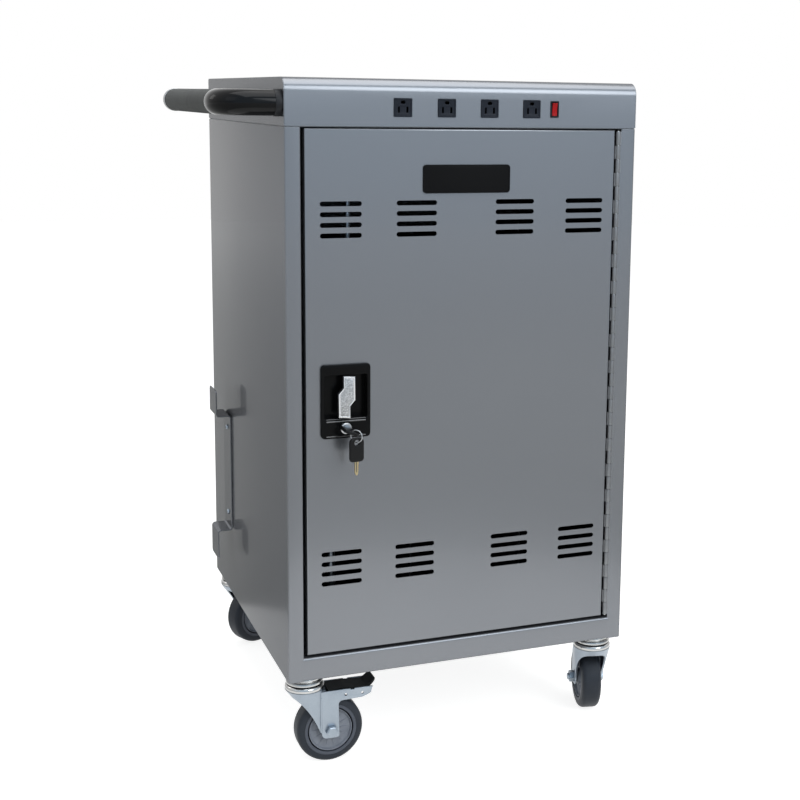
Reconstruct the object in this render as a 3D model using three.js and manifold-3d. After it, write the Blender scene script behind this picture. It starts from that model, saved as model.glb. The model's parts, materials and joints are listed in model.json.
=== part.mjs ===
// Charging cart for laptops: a folded sheet-steel cabinet on four swivel casters, with a lockable
// front door on a continuous hinge, a rear door over the power bay, and a push handle on one side.
// Millimetres, +Z up, +X to the right and +Y to the back as seen from the front. The cabinet is drawn
// from its front left bottom corner, and the whole cart is moved at the end so that the origin lies
// on the floor under the middle of its box.
import * as THREE from 'three';
import { mergeVertices } from 'three/addons/utils/BufferGeometryUtils.js';
import Module from 'manifold-3d';

const wasm = await Module();
wasm.setup();

// Cabinet
const WIDTH = 540;
const DEPTH = 548;
const HEIGHT = 874;
const CAP_BOTTOM = 807.5;
const CAP_EDGE_RADIUS = 18;
const CAP_BACK_RADIUS = 4;
const SHEET = 1.2;
const BASE_SHEET = 2;
const BEND_RADIUS = 2.2;
const BASE_BEND_RADIUS = 2.6;
const STILE = 23.5;
const STILE_RETURN = 18;
const RAIL_TOP = 35.4;
const CASTER_FLANGE = 72;
const PANEL_TOP = 806.2;

// Gap between neighbours, and how far a cutting tool runs past a face
const CLEAR = 0.3;
const OVERRUN = 9;

// Front door and its hinge
const DOOR_LEFT = 28.4;
const DOOR_RIGHT = 506;
const DOOR_BOTTOM = 40;
const DOOR_TOP = 804.4;
const DOOR_THICK = 20;
const HINGE_X = 511.25;
const HINGE_Y = -0.5;
const KNUCKLE_RADIUS = 3.4;
const KNUCKLE_BORE = 2;
const HINGE_PIN_RADIUS = 1.7;
const KNUCKLE_COUNT = 37;
const VENT_LENGTH = 61;
const VENT_HEIGHT = 7;
const VENT_PITCH = 14.9;
const VENT_ROWS = 4;
const VENT_MIDDLE_X = 268.8;
const VENT_OFFSETS = [-188.4, -76, 76, 188.4];
const REAR_VENT_OFFSETS = [-76, 76];
const VENT_GROUP_Z = [168.2, 677.4];

// Lock on the front door
const LOCK_X = 86;
const LOCK_PLATE = { width: 73.2, bottom: 363.5, top: 471.5, proud: 4.3, radius: 6 };
const RECESS_HALF = 31.8;
const LEVER_Z = 424.3;
const LEVER_FRONT = -10;
const LEVER_BACK = -2;
const TUB_WALL = 1.4;
const TUB_BACK = 14;
const TUB_RADIUS = 4;
const KEY_Z = 378;
const PLUG_RADIUS = 8;
const KEY_TILT = THREE.MathUtils.degToRad(20);
const KEY_HOLE_Y = -33;
const KEY_RING_RADIUS = 9;
const KEY_RING_WIRE = 0.9;
const SPARE_TURN = THREE.MathUtils.degToRad(12);
const ROD_OFFSET = 13.5;
const ROD_RADIUS = 4;
const ROD_Y = 34;
const ROD_TOP = 801;
const ROD_BOTTOM = 41;

// Rear door
const REAR_LEFT = 28.5;
const REAR_RIGHT = 510;
const REAR_THICK = 18;
const REAR_PIVOT = { x: 502, y: DEPTH - 9, radius: 4, hole: 4.4 };
const REAR_LOCK = { x: 46, z: 420, flange: 11, barrel: 9, hole: 9.4, camReach: 30 };

// Inside
const PARTITION_Y = 440;
const SHELF_Z = 420;
const SHELF_FRONT = 62;
const FIN_COUNT = 7;
const FIN_HEIGHT = 210;
const FIN_THICK = 3;

// Casters
const CASTER_HEIGHT = 140.8;
const WHEEL_RADIUS = 50.8;
const WHEEL_WIDTH = 32;
const CASTER_TRAIL = 36;
const CASTER_INSET_X = 32;
const CASTER_INSET_FRONT = 35;
const CASTER_INSET_REAR = 28;
const AXLE_Z = WHEEL_RADIUS - CASTER_HEIGHT;
const FORK_INNER = 18.6;
const FORK_SHEET = 2.6;

// Handle on the left side
const HANDLE_Z = 838.5;
const HANDLE_REACH = 75;
const HANDLE_FRONT_Y = 20;
const HANDLE_REAR_Y = 460;
const HANDLE_RADIUS = 18;
const HANDLE_BEND = 38;
const HANDLE_STRAIGHT = 8;
const HANDLE_STANDOFF = 3;
const HANDLE_FOOT = { length: 10, radius: 18.8 };
const HANDLE_STUD = { radius: 4, length: 12 };
const TUBE_RADIUS = 12.5;
const TUBE_WALL = 1.5;
const TUBE_INSERT = 13;
const GRIP_RADIUS = 17.4;
const GRIP_GAP = 3;

// Cord hooks on the left side
const HOOK_FRONT_Y = 393;
const HOOK_BACK_Y = 446;
const HOOK_SHEET = 2.4;
const HOOK_REACH = 26;
const HOOK_BEND = 4.5;
const HOOK_SHELVES = [117, 315];
const HOOK_TIPS = [67.6, 359];
const HOOK_SCREWS = [143, 291.7];
const HOOK_SCREW = { y: 416, hole: 2.5, shank: 2.1, length: 10 };

const materials = {
  paint: new THREE.MeshStandardMaterial({ color: 0x83868a, roughness: 0.42, metalness: 0.35 }),
  inner: new THREE.MeshStandardMaterial({ color: 0x777a7e, roughness: 0.5, metalness: 0.3 }),
  plastic: new THREE.MeshStandardMaterial({ color: 0x101112, roughness: 0.35, metalness: 0 }),
  gloss: new THREE.MeshStandardMaterial({ color: 0x0a0b0d, roughness: 0.12, metalness: 0 }),
  zinc: new THREE.MeshStandardMaterial({ color: 0xb4bdc4, roughness: 0.3, metalness: 0.9 }),
  chrome: new THREE.MeshStandardMaterial({ color: 0xc9cbcd, roughness: 0.35, metalness: 0.9 }),
  rubber: new THREE.MeshStandardMaterial({ color: 0x3c4047, roughness: 0.6, metalness: 0 }),
  foam: new THREE.MeshStandardMaterial({ color: 0x6e706e, roughness: 0.9, metalness: 0 }),
  red: new THREE.MeshStandardMaterial({ color: 0xb3121a, roughness: 0.25, metalness: 0 }),
  divider: new THREE.MeshStandardMaterial({ color: 0x2a2c2f, roughness: 0.6, metalness: 0 }),
};

// Closed solids and booleans
function toSolid(geometry) {
  const bare = geometry.clone();
  bare.deleteAttribute('normal');
  bare.deleteAttribute('uv');
  const merged = mergeVertices(bare, 1e-4);
  const index = merged.index.array;
  const triangles = [];
  for (let i = 0; i < index.length; i += 3) {
    const [a, b, c] = [index[i], index[i + 1], index[i + 2]];
    if (a !== b && b !== c && c !== a) triangles.push(a, b, c);
  }
  const vertProperties = new Float32Array(merged.attributes.position.array);
  const triVerts = new Uint32Array(triangles);
  return new wasm.Manifold(new wasm.Mesh({ numProp: 3, vertProperties, triVerts }));
}

function toGeometry(solid) {
  const mesh = solid.getMesh();
  const geometry = new THREE.BufferGeometry();
  geometry.setAttribute('position', new THREE.BufferAttribute(mesh.vertProperties, 3));
  geometry.setIndex(new THREE.BufferAttribute(mesh.triVerts, 1));
  geometry.computeVertexNormals();
  return geometry;
}

function join(...geometries) {
  const solids = geometries.map(toSolid);
  return toGeometry(solids.reduce((sum, next) => sum.add(next)));
}

function cut(geometry, ...tools) {
  const solids = tools.map(toSolid);
  return toGeometry(solids.reduce((left, tool) => left.subtract(tool), toSolid(geometry)));
}

// Basic forms, each placed straight in cabinet coordinates
function block(x0, x1, y0, y1, z0, z1) {
  const box = new THREE.BoxGeometry(x1 - x0, y1 - y0, z1 - z0);
  return box.translate((x0 + x1) / 2, (y0 + y1) / 2, (z0 + z1) / 2);
}

function extrude(shape, depth, curveSegments = 2) {
  return new THREE.ExtrudeGeometry(shape, { depth, curveSegments, bevelEnabled: false });
}

// A shape drawn in (x, y) and pushed up
function extrudeUp(shape, z0, z1, curveSegments) {
  return extrude(shape, z1 - z0, curveSegments).translate(0, 0, z0);
}

// A shape drawn in (x, z) and pushed to the back
function extrudeBack(shape, y0, y1, curveSegments) {
  return extrude(shape, y1 - y0, curveSegments).rotateX(Math.PI / 2).translate(0, y1, 0);
}

// A shape drawn in (y, z) and pushed to the right
function extrudeRight(shape, x0, x1, curveSegments) {
  const [alongX, alongY, alongZ] = [0, 1, 2].map((i) => new THREE.Vector3().setComponent(i, 1));
  const turn = new THREE.Matrix4().makeBasis(alongY, alongZ, alongX);
  return extrude(shape, x1 - x0, curveSegments).applyMatrix4(turn).translate(x0, 0, 0);
}

// A turned piece: profile points are [radius, height] from the bottom up, about a vertical axis
function turned(profile, segments = 16) {
  const points = profile.map(([radius, height]) => new THREE.Vector2(radius, height));
  return new THREE.LatheGeometry(points, segments).rotateX(Math.PI / 2);
}

function rodUp(x, y, z0, z1, radius, segments = 12) {
  const rod = new THREE.CylinderGeometry(radius, radius, z1 - z0, segments);
  return rod.rotateX(Math.PI / 2).translate(x, y, (z0 + z1) / 2);
}

function rodBack(x, z, y0, y1, radius, segments = 16) {
  const rod = new THREE.CylinderGeometry(radius, radius, y1 - y0, segments);
  return rod.translate(x, (y0 + y1) / 2, z);
}

function rodRight(y, z, x0, x1, radius, segments = 12) {
  const rod = new THREE.CylinderGeometry(radius, radius, x1 - x0, segments);
  return rod.rotateZ(Math.PI / 2).translate((x0 + x1) / 2, y, z);
}

function polygon(points) {
  return new THREE.Shape(points.map(([x, y]) => new THREE.Vector2(x, y)));
}

function roundedRect(x0, x1, y0, y1, radius, Kind = THREE.Shape) {
  const shape = new Kind();
  const quarter = Math.PI / 2;
  shape.absarc(x1 - radius, y0 + radius, radius, -quarter, 0);
  shape.absarc(x1 - radius, y1 - radius, radius, 0, quarter);
  shape.absarc(x0 + radius, y1 - radius, radius, quarter, 2 * quarter);
  shape.absarc(x0 + radius, y0 + radius, radius, 2 * quarter, 3 * quarter);
  shape.closePath();
  return shape;
}

function ring(x, y, radius, sides = 16) {
  const points = Array.from({ length: sides }, (_, i) => {
    const angle = (2 * Math.PI * i) / sides;
    return new THREE.Vector2(x + radius * Math.cos(angle), y + radius * Math.sin(angle));
  });
  return new THREE.Path(points);
}

// The section of a bent sheet: its middle line, with an arc at each bend, widened both ways
function bentStrip(path, thickness, radius = BEND_RADIUS, steps = 3) {
  const corners = path.map(([x, y]) => new THREE.Vector2(x, y));
  const left = [];
  const right = [];
  const addPoint = (point, heading) => {
    const normal = new THREE.Vector2(-heading.y, heading.x).multiplyScalar(thickness / 2);
    left.push(point.clone().add(normal));
    right.unshift(point.clone().sub(normal));
  };
  const headings = corners.slice(1).map((corner, i) => corner.clone().sub(corners[i]).normalize());
  addPoint(corners[0], headings[0]);
  for (let i = 1; i < corners.length - 1; i += 1) {
    const heading = headings[i - 1];
    const bend = Math.atan2(heading.cross(headings[i]), heading.dot(headings[i]));
    const side = Math.sign(bend);
    const start = corners[i].clone().addScaledVector(heading, -radius * Math.tan(Math.abs(bend) / 2));
    const toCentre = new THREE.Vector2(-heading.y, heading.x).multiplyScalar(side * radius);
    const centre = start.clone().add(toCentre);
    for (let k = 0; k <= steps; k += 1) {
      const angle = (bend * k) / steps;
      const spoke = toCentre.clone().negate().rotateAround(new THREE.Vector2(), angle);
      const along = heading.clone().rotateAround(new THREE.Vector2(), angle);
      addPoint(centre.clone().add(spoke), along);
    }
  }
  addPoint(corners[corners.length - 1], headings[headings.length - 1]);
  return new THREE.Shape([...left, ...right]);
}

const cart = new THREE.Group();

function addPart(name, geometry, material, parent = cart) {
  const mesh = new THREE.Mesh(geometry, material);
  mesh.name = name;
  parent.add(mesh);
  return mesh;
}

// Side panels: a C of one sheet, with stiles front and back, and a ledge for the ceiling on top
const half = SHEET / 2;
const panelPath = [
  [STILE - half, STILE_RETURN],
  [STILE - half, half],
  [half, half],
  [half, DEPTH - half],
  [STILE - half, DEPTH - half],
  [STILE - half, DEPTH - STILE_RETURN],
];
const LEDGE = { depth: 20, clear: 24 };

function sidePanel(path, ledgeX0, ledgeX1) {
  const sheet = extrudeUp(bentStrip(path, SHEET), 0, PANEL_TOP);
  const ledge = block(ledgeX0, ledgeX1, LEDGE.clear, DEPTH - LEDGE.clear, PANEL_TOP - SHEET, PANEL_TOP);
  return join(sheet, ledge);
}

const screwHoles = HOOK_SCREWS.map((z) => rodRight(HOOK_SCREW.y, z, -OVERRUN, OVERRUN, HOOK_SCREW.hole));
const leftPanel = sidePanel(panelPath, half, LEDGE.depth);
addPart('left_side_panel', cut(leftPanel, ...screwHoles), materials.paint);

const INLET = {
  y: 500, z: 120, width: 50, height: 30, radius: 4, proud: 3, body: 34, bodyHeight: 24, depth: 26,
};
const rightPath = panelPath.map(([x, y]) => [WIDTH - x, y]);
const rightPanel = sidePanel(rightPath, WIDTH - LEDGE.depth, WIDTH - half);
const inletHole = block(
  WIDTH - OVERRUN, WIDTH + OVERRUN,
  INLET.y - INLET.body / 2 - CLEAR, INLET.y + INLET.body / 2 + CLEAR,
  INLET.z - INLET.bodyHeight / 2 - CLEAR, INLET.z + INLET.bodyHeight / 2 + CLEAR,
);
addPart('right_side_panel', cut(rightPanel, inletHole), materials.paint);

// Bottom pan: floor, front and rear rails, and the flanges that the casters bolt to
const casterSpots = {
  front_left: { x: CASTER_INSET_X, y: CASTER_INSET_FRONT, turn: 0, braked: true },
  front_right: { x: WIDTH - CASTER_INSET_X, y: CASTER_INSET_FRONT, turn: 77, braked: false },
  rear_left: { x: CASTER_INSET_X, y: DEPTH - CASTER_INSET_REAR, turn: 25, braked: true },
  rear_right: { x: WIDTH - CASTER_INSET_X, y: DEPTH - CASTER_INSET_REAR, turn: -102, braked: false },
};
const STEM_RADIUS = 6;
const baseHalf = BASE_SHEET / 2;
const panPath = [
  [CASTER_FLANGE, baseHalf],
  [baseHalf, baseHalf],
  [baseHalf, RAIL_TOP - baseHalf],
  [DEPTH - baseHalf, RAIL_TOP - baseHalf],
  [DEPTH - baseHalf, baseHalf],
  [DEPTH - CASTER_FLANGE, baseHalf],
];
const panSection = bentStrip(panPath, BASE_SHEET, BASE_BEND_RADIUS);
const panMiddle = extrudeRight(panSection, STILE + CLEAR, WIDTH - STILE - CLEAR);
const floorFront = STILE_RETURN + 2 * CLEAR;
const floorSides = block(
  SHEET + CLEAR, WIDTH - SHEET - CLEAR, floorFront, DEPTH - floorFront, RAIL_TOP - BASE_SHEET, RAIL_TOP,
);
const lowerRodX = LOCK_X - ROD_OFFSET;
const upperRodX = LOCK_X + ROD_OFFSET;
const keeperRadius = ROD_RADIUS + 1;
const panHoles = [
  rodUp(lowerRodX, ROD_Y, RAIL_TOP - OVERRUN, RAIL_TOP + OVERRUN, keeperRadius),
  rodUp(REAR_PIVOT.x, REAR_PIVOT.y, RAIL_TOP - OVERRUN, RAIL_TOP + OVERRUN, REAR_PIVOT.hole),
];
for (const spot of Object.values(casterSpots)) {
  panHoles.push(rodUp(spot.x, spot.y, -OVERRUN, OVERRUN, STEM_RADIUS + CLEAR));
}
addPart('bottom_pan', cut(join(panMiddle, floorSides), ...panHoles), materials.paint);

// Top cap: a shallow hood, open below, with a rolled front edge and openings for the sockets
const OUTLET_X = [171, 236.9, 302.6, 368.8];
const OUTLET = { z: 834.2, width: 27, height: 26.4, body: 22, proud: 1.6, depth: 24, radius: 1.5 };
const SWITCH = { x: 405.3, z: 834.2, width: 13, height: 24.3, lip: 1.2, proud: 1.6, depth: 20, well: 12 };

function capSection(inset) {
  const radius = CAP_EDGE_RADIUS - inset;
  const backRadius = CAP_BACK_RADIUS - inset;
  const [front, back, top] = [inset, DEPTH - inset, HEIGHT - inset];
  const bottom = inset > 0 ? CAP_BOTTOM - OVERRUN : CAP_BOTTOM;
  const shape = new THREE.Shape();
  shape.moveTo(front, bottom);
  shape.lineTo(back, bottom);
  shape.absarc(back - backRadius, top - backRadius, backRadius, 0, Math.PI / 2);
  shape.absarc(front + radius, top - radius, radius, Math.PI / 2, Math.PI);
  shape.closePath();
  return shape;
}

const capHoles = OUTLET_X.map((x) => {
  const reach = OUTLET.body / 2 + CLEAR;
  return block(x - reach, x + reach, -OVERRUN, OVERRUN, OUTLET.z - reach, OUTLET.z + reach);
});
const switchBody = { x: SWITCH.width / 2 - SWITCH.lip, z: SWITCH.height / 2 - SWITCH.lip };
capHoles.push(block(
  SWITCH.x - switchBody.x - CLEAR, SWITCH.x + switchBody.x + CLEAR, -OVERRUN, OVERRUN,
  SWITCH.z - switchBody.z - CLEAR, SWITCH.z + switchBody.z + CLEAR,
));
const CAP_EDGE_STEPS = 5;
const capOuter = extrudeRight(capSection(0), 0, WIDTH, CAP_EDGE_STEPS);
const capInner = extrudeRight(capSection(SHEET), SHEET, WIDTH - SHEET, CAP_EDGE_STEPS);
for (const y of [HANDLE_FRONT_Y, HANDLE_REAR_Y]) {
  capHoles.push(rodRight(y, HANDLE_Z, -OVERRUN, OVERRUN, HANDLE_STUD.radius + CLEAR));
}
addPart('top_cap', cut(capOuter, capInner, ...capHoles), materials.paint);

// Ceiling of the device bay, on the ledges of the side panels, with the keeper hole for the lock rod
const ceilingZ = PANEL_TOP + CLEAR;
const ceiling = block(
  SHEET + CLEAR, WIDTH - SHEET - CLEAR, SHEET + CLEAR, DEPTH - SHEET - CLEAR, ceilingZ, ceilingZ + SHEET,
);
const ceilingHoles = [
  rodUp(upperRodX, ROD_Y, ceilingZ - OVERRUN, ceilingZ + OVERRUN, keeperRadius),
  rodUp(REAR_PIVOT.x, REAR_PIVOT.y, ceilingZ - OVERRUN, ceilingZ + OVERRUN, REAR_PIVOT.hole),
];
addPart('ceiling_panel', cut(ceiling, ...ceilingHoles), materials.inner);

// Partition between devices and power, with a cable window above each tier
const innerLeft = SHEET + CLEAR;
const innerRight = WIDTH - SHEET - CLEAR;
const partitionTop = PANEL_TOP - 2;
const partitionShape = roundedRect(innerLeft, innerRight, RAIL_TOP + CLEAR, partitionTop, 1);
const WINDOW = { inset: 60, height: 50, radius: 8 };
const windowTops = [SHELF_Z - 40, PANEL_TOP - 60];
for (const top of windowTops) {
  const left = innerLeft + WINDOW.inset;
  const right = innerRight - WINDOW.inset;
  partitionShape.holes.push(roundedRect(left, right, top - WINDOW.height, top, WINDOW.radius, THREE.Path));
}
const partition = extrudeBack(partitionShape, PARTITION_Y, PARTITION_Y + SHEET);
const notchReach = LEDGE.depth + 1;
const ledgeNotches = [[0, notchReach], [WIDTH - notchReach, WIDTH]].map(([x0, x1]) => {
  return block(x0, x1, PARTITION_Y - OVERRUN, PARTITION_Y + OVERRUN, partitionTop - 0.5, PANEL_TOP);
});
addPart('partition_panel', cut(partition, ...ledgeNotches), materials.inner);

// Shelf between the two tiers, with its side flanges against the panels
const SHELF_FLANGE = 20;
const shelfPath = [
  [innerLeft + half, SHELF_Z - SHELF_FLANGE],
  [innerLeft + half, SHELF_Z - half],
  [innerRight - half, SHELF_Z - half],
  [innerRight - half, SHELF_Z - SHELF_FLANGE],
];
const shelf = extrudeBack(bentStrip(shelfPath, SHEET), SHELF_FRONT, PARTITION_Y - CLEAR);
addPart('mid_shelf', shelf, materials.inner);

// Divider racks: a base plate and upright fins, one rack to a tier
const RACK = { left: 26, right: 514, front: 70, back: PARTITION_Y - 20, base: 3 };

function dividerRack(floor) {
  const { left, right, base } = RACK;
  const pitch = (right - left - FIN_THICK) / (FIN_COUNT + 1);
  const outline = [[left, floor], [right, floor], [right, floor + base]];
  for (let i = FIN_COUNT; i > 0; i -= 1) {
    const fin = left + i * pitch;
    outline.push([fin + FIN_THICK, floor + base], [fin + FIN_THICK, floor + FIN_HEIGHT]);
    outline.push([fin, floor + FIN_HEIGHT], [fin, floor + base]);
  }
  outline.push([left, floor + base]);
  return extrudeBack(polygon(outline), RACK.front, RACK.back);
}

addPart('lower_divider_rack', dividerRack(RAIL_TOP + CLEAR), materials.divider);
addPart('upper_divider_rack', dividerRack(SHELF_Z + CLEAR), materials.divider);

// Sockets with two blade slots and a round earth hole; the face looks to the front
const BLADE = { pitch: 12.7, width: 2.2, height: 8, depth: 9, drop: 3 };
const EARTH = { rise: 8, radius: 2.6 };

function socketHoles(x, z, faceY, inward, earthUp) {
  const back = faceY + inward * BLADE.depth;
  const front = faceY - inward;
  const [y0, y1] = [Math.min(front, back), Math.max(front, back)];
  const bladeZ = z - earthUp * BLADE.drop;
  const slots = [-0.5, 0.5].map((side) => {
    const middle = x + side * BLADE.pitch;
    const reach = BLADE.width / 2;
    const rise = BLADE.height / 2;
    return block(middle - reach, middle + reach, y0, y1, bladeZ - rise, bladeZ + rise);
  });
  return [...slots, rodBack(x, z + earthUp * EARTH.rise, y0, y1, EARTH.radius, 6)];
}

OUTLET_X.forEach((x, i) => {
  const face = extrudeBack(
    roundedRect(x - OUTLET.width / 2, x + OUTLET.width / 2,
      OUTLET.z - OUTLET.height / 2, OUTLET.z + OUTLET.height / 2, OUTLET.radius),
    -OUTLET.proud, -CLEAR,
  );
  const reach = OUTLET.body / 2;
  const body = block(
    x - reach, x + reach, -OUTLET.proud / 2, OUTLET.depth, OUTLET.z - reach, OUTLET.z + reach,
  );
  const outlet = cut(join(face, body), ...socketHoles(x, OUTLET.z, -OUTLET.proud, 1, 1));
  addPart(`front_outlet_${i + 1}`, outlet, materials.plastic);
});

// Rocker switch: bezel with its housing, and the red rocker on a cross pin line
const bezelFace = extrudeBack(
  roundedRect(SWITCH.x - SWITCH.width / 2, SWITCH.x + SWITCH.width / 2,
    SWITCH.z - SWITCH.height / 2, SWITCH.z + SWITCH.height / 2, SWITCH.lip),
  -SWITCH.proud, -CLEAR,
);
const bezelBody = block(
  SWITCH.x - switchBody.x, SWITCH.x + switchBody.x, -SWITCH.proud / 2, SWITCH.depth,
  SWITCH.z - switchBody.z, SWITCH.z + switchBody.z,
);
const rockerHalf = { x: SWITCH.width / 2 - 2.6, z: SWITCH.height / 2 - 2.8 };
const rockerWell = block(
  SWITCH.x - rockerHalf.x - 0.5, SWITCH.x + rockerHalf.x + 0.5, -OVERRUN, SWITCH.well,
  SWITCH.z - rockerHalf.z - 0.8, SWITCH.z + rockerHalf.z + 0.8,
);
addPart('switch_bezel', cut(join(bezelFace, bezelBody), rockerWell), materials.plastic);

const ROCKER_TILT = 0.12;

// Its section across the pin line: a shallow V in front, and a narrower back inside the well
const rockerShape = polygon([
  [4, -rockerHalf.z + 1.5],
  [4, rockerHalf.z - 1.5],
  [-1.2, rockerHalf.z],
  [-2.2, rockerHalf.z],
  [-1.2, 0],
  [-2.2, -rockerHalf.z],
  [-1.2, -rockerHalf.z],
]);
const rockerSolid = extrudeRight(rockerShape, -rockerHalf.x, rockerHalf.x);
const rocker = addPart('switch_rocker', rockerSolid, materials.red);
rocker.position.set(SWITCH.x, 0, SWITCH.z);
rocker.rotation.x = ROCKER_TILT;

// Power strips on the back of the partition, and the mains inlet low on the right side
const STRIP = { left: 50, right: 490, height: 44, depth: 36, z: [230, 620], outlets: 8 };
for (const [i, z] of STRIP.z.entries()) {
  const front = PARTITION_Y + SHEET + CLEAR;
  const back = front + STRIP.depth;
  const strip = block(STRIP.left, STRIP.right, front, back, z - STRIP.height / 2, z + STRIP.height / 2);
  const pitch = (STRIP.right - STRIP.left) / STRIP.outlets;
  const holes = [];
  for (let k = 0; k < STRIP.outlets; k += 1) {
    holes.push(...socketHoles(STRIP.left + (k + 0.5) * pitch, z, back, -1, -1));
  }
  const name = i === 0 ? 'lower_power_strip' : 'upper_power_strip';
  addPart(name, cut(strip, ...holes), materials.plastic);
}

const inletFlange = extrudeRight(
  roundedRect(INLET.y - INLET.width / 2, INLET.y + INLET.width / 2,
    INLET.z - INLET.height / 2, INLET.z + INLET.height / 2, INLET.radius),
  WIDTH + CLEAR, WIDTH + INLET.proud,
);
const inletBody = block(
  WIDTH - INLET.depth, WIDTH + 1, INLET.y - INLET.body / 2, INLET.y + INLET.body / 2,
  INLET.z - INLET.bodyHeight / 2, INLET.z + INLET.bodyHeight / 2,
);
const WELL = { width: 25, height: 17, depth: 14 };
const inletWell = block(
  WIDTH - WELL.depth, WIDTH + OVERRUN, INLET.y - WELL.width / 2, INLET.y + WELL.width / 2,
  INLET.z - WELL.height / 2, INLET.z + WELL.height / 2,
);
const PIN = { pitch: 7, offset: 2.5, thick: 2, height: 4, short: 2 };
const inletPins = [-1, 0, 1].map((place) => {
  const y = INLET.y + place * PIN.pitch;
  const z = INLET.z + (place === 0 ? PIN.offset : -PIN.offset);
  return block(
    WIDTH - WELL.depth - 1, WIDTH - PIN.short, y - PIN.thick / 2, y + PIN.thick / 2,
    z - PIN.height / 2, z + PIN.height / 2,
  );
});
addPart('power_inlet', join(cut(join(inletFlange, inletBody), inletWell), ...inletPins), materials.plastic);

// Push handle: two elbows, the steel tube between them and a foam sleeve over the tube
class ElbowLine extends THREE.Curve {
  constructor(armY, side) {
    super();
    this.armY = armY;
    this.side = side;
    this.arm = HANDLE_REACH - HANDLE_BEND;
    this.total = this.arm + (HANDLE_BEND * Math.PI) / 2 + HANDLE_STRAIGHT;
  }

  getPoint(t, target = new THREE.Vector3()) {
    const run = t * this.total;
    const turn = THREE.MathUtils.clamp((run - this.arm) / HANDLE_BEND, 0, Math.PI / 2);
    const rest = Math.max(0, run - this.arm - (HANDLE_BEND * Math.PI) / 2);
    const x = -Math.min(run, this.arm) - HANDLE_BEND * Math.sin(turn);
    const y = HANDLE_BEND * (1 - Math.cos(turn)) + rest;
    return target.set(x, this.armY + this.side * y, HANDLE_Z);
  }
}

const disc = (radius) => new THREE.Shape().absarc(0, 0, radius, 0, 2 * Math.PI);
const gripX = -HANDLE_REACH - HANDLE_STANDOFF;

function elbow(armY, side) {
  const bend = new THREE.ExtrudeGeometry(disc(HANDLE_RADIUS), {
    steps: 10, curveSegments: 8, bevelEnabled: false, extrudePath: new ElbowLine(armY, side),
  });
  bend.translate(-HANDLE_STANDOFF, 0, 0);
  const foot = rodRight(armY, HANDLE_Z, -HANDLE_FOOT.length, -CLEAR, HANDLE_FOOT.radius, 16);
  const stud = rodRight(armY, HANDLE_Z, -1, HANDLE_STUD.length, HANDLE_STUD.radius, 8);
  const mouth = armY + side * (HANDLE_BEND + HANDLE_STRAIGHT);
  const [y0, y1] = [mouth - side * (TUBE_INSERT + 1), mouth + side * OVERRUN].sort((a, b) => a - b);
  const socket = rodBack(gripX, HANDLE_Z, y0, y1, TUBE_RADIUS + CLEAR);
  return cut(join(bend, foot, stud), socket);
}

const mouthFront = HANDLE_FRONT_Y + HANDLE_BEND + HANDLE_STRAIGHT;
const mouthRear = HANDLE_REAR_Y - HANDLE_BEND - HANDLE_STRAIGHT;
addPart('handle_front_elbow', elbow(HANDLE_FRONT_Y, 1), materials.gloss);
addPart('handle_rear_elbow', elbow(HANDLE_REAR_Y, -1), materials.gloss);
const tubeFront = mouthFront - TUBE_INSERT;
const tubeRear = mouthRear + TUBE_INSERT;
const tube = rodBack(gripX, HANDLE_Z, tubeFront, tubeRear, TUBE_RADIUS);
const tubeBore = rodBack(gripX, HANDLE_Z, tubeFront - OVERRUN, tubeRear + OVERRUN, TUBE_RADIUS - TUBE_WALL);
addPart('handle_tube', cut(tube, tubeBore), materials.zinc);
const sleeve = rodBack(gripX, HANDLE_Z, mouthFront + GRIP_GAP, mouthRear - GRIP_GAP, GRIP_RADIUS, 24);
const sleeveBore = rodBack(gripX, HANDLE_Z, mouthFront, mouthRear, TUBE_RADIUS + CLEAR);
addPart('handle_grip', cut(sleeve, sleeveBore), materials.foam);

// Cord hooks: one folded strip screwed to the left panel
const hookBack = -CLEAR - HOOK_SHEET / 2;
const hookLip = -HOOK_REACH + HOOK_SHEET / 2;
const hookPath = [
  [hookLip, HOOK_TIPS[0]],
  [hookLip, HOOK_SHELVES[0]],
  [hookBack, HOOK_SHELVES[0]],
  [hookBack, HOOK_SHELVES[1]],
  [hookLip, HOOK_SHELVES[1]],
  [hookLip, HOOK_TIPS[1]],
];
const hooks = extrudeBack(bentStrip(hookPath, HOOK_SHEET, HOOK_BEND), HOOK_FRONT_Y, HOOK_BACK_Y);
addPart('cord_hook_bracket', cut(hooks, ...screwHoles), materials.paint);
HOOK_SCREWS.forEach((z, i) => {
  const headX = -CLEAR - HOOK_SHEET - CLEAR;
  const profile = [[0, 0], [4.4, 0], [4.2, 1.6], [2.2, 2.9], [0, 3]];
  const head = turned(profile, 12).rotateY(-Math.PI / 2).translate(headX, HOOK_SCREW.y, z);
  const shank = rodRight(HOOK_SCREW.y, z, headX - 0.5, headX + HOOK_SCREW.length, HOOK_SCREW.shank, 8);
  addPart(i === 0 ? 'lower_hook_screw' : 'upper_hook_screw', join(head, shank), materials.zinc);
});

// Front door: a pan with vent slots, the lock opening, and two welded guides for the lock rods
function doorSkin(left, right, bottom, top, ventOffsets) {
  const skin = roundedRect(left, right, bottom, top, 1);
  const reach = (VENT_LENGTH - VENT_HEIGHT) / 2;
  const radius = VENT_HEIGHT / 2;
  for (const groupZ of VENT_GROUP_Z) {
    for (const offset of ventOffsets) {
      for (let row = 0; row < VENT_ROWS; row += 1) {
        const x = VENT_MIDDLE_X + offset;
        const z = groupZ + (row - (VENT_ROWS - 1) / 2) * VENT_PITCH;
        const slot = new THREE.Path();
        slot.absarc(x + reach, z, radius, -Math.PI / 2, Math.PI / 2);
        slot.absarc(x - reach, z, radius, Math.PI / 2, Math.PI * 1.5);
        slot.closePath();
        skin.holes.push(slot);
      }
    }
  }
  return skin;
}

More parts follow.
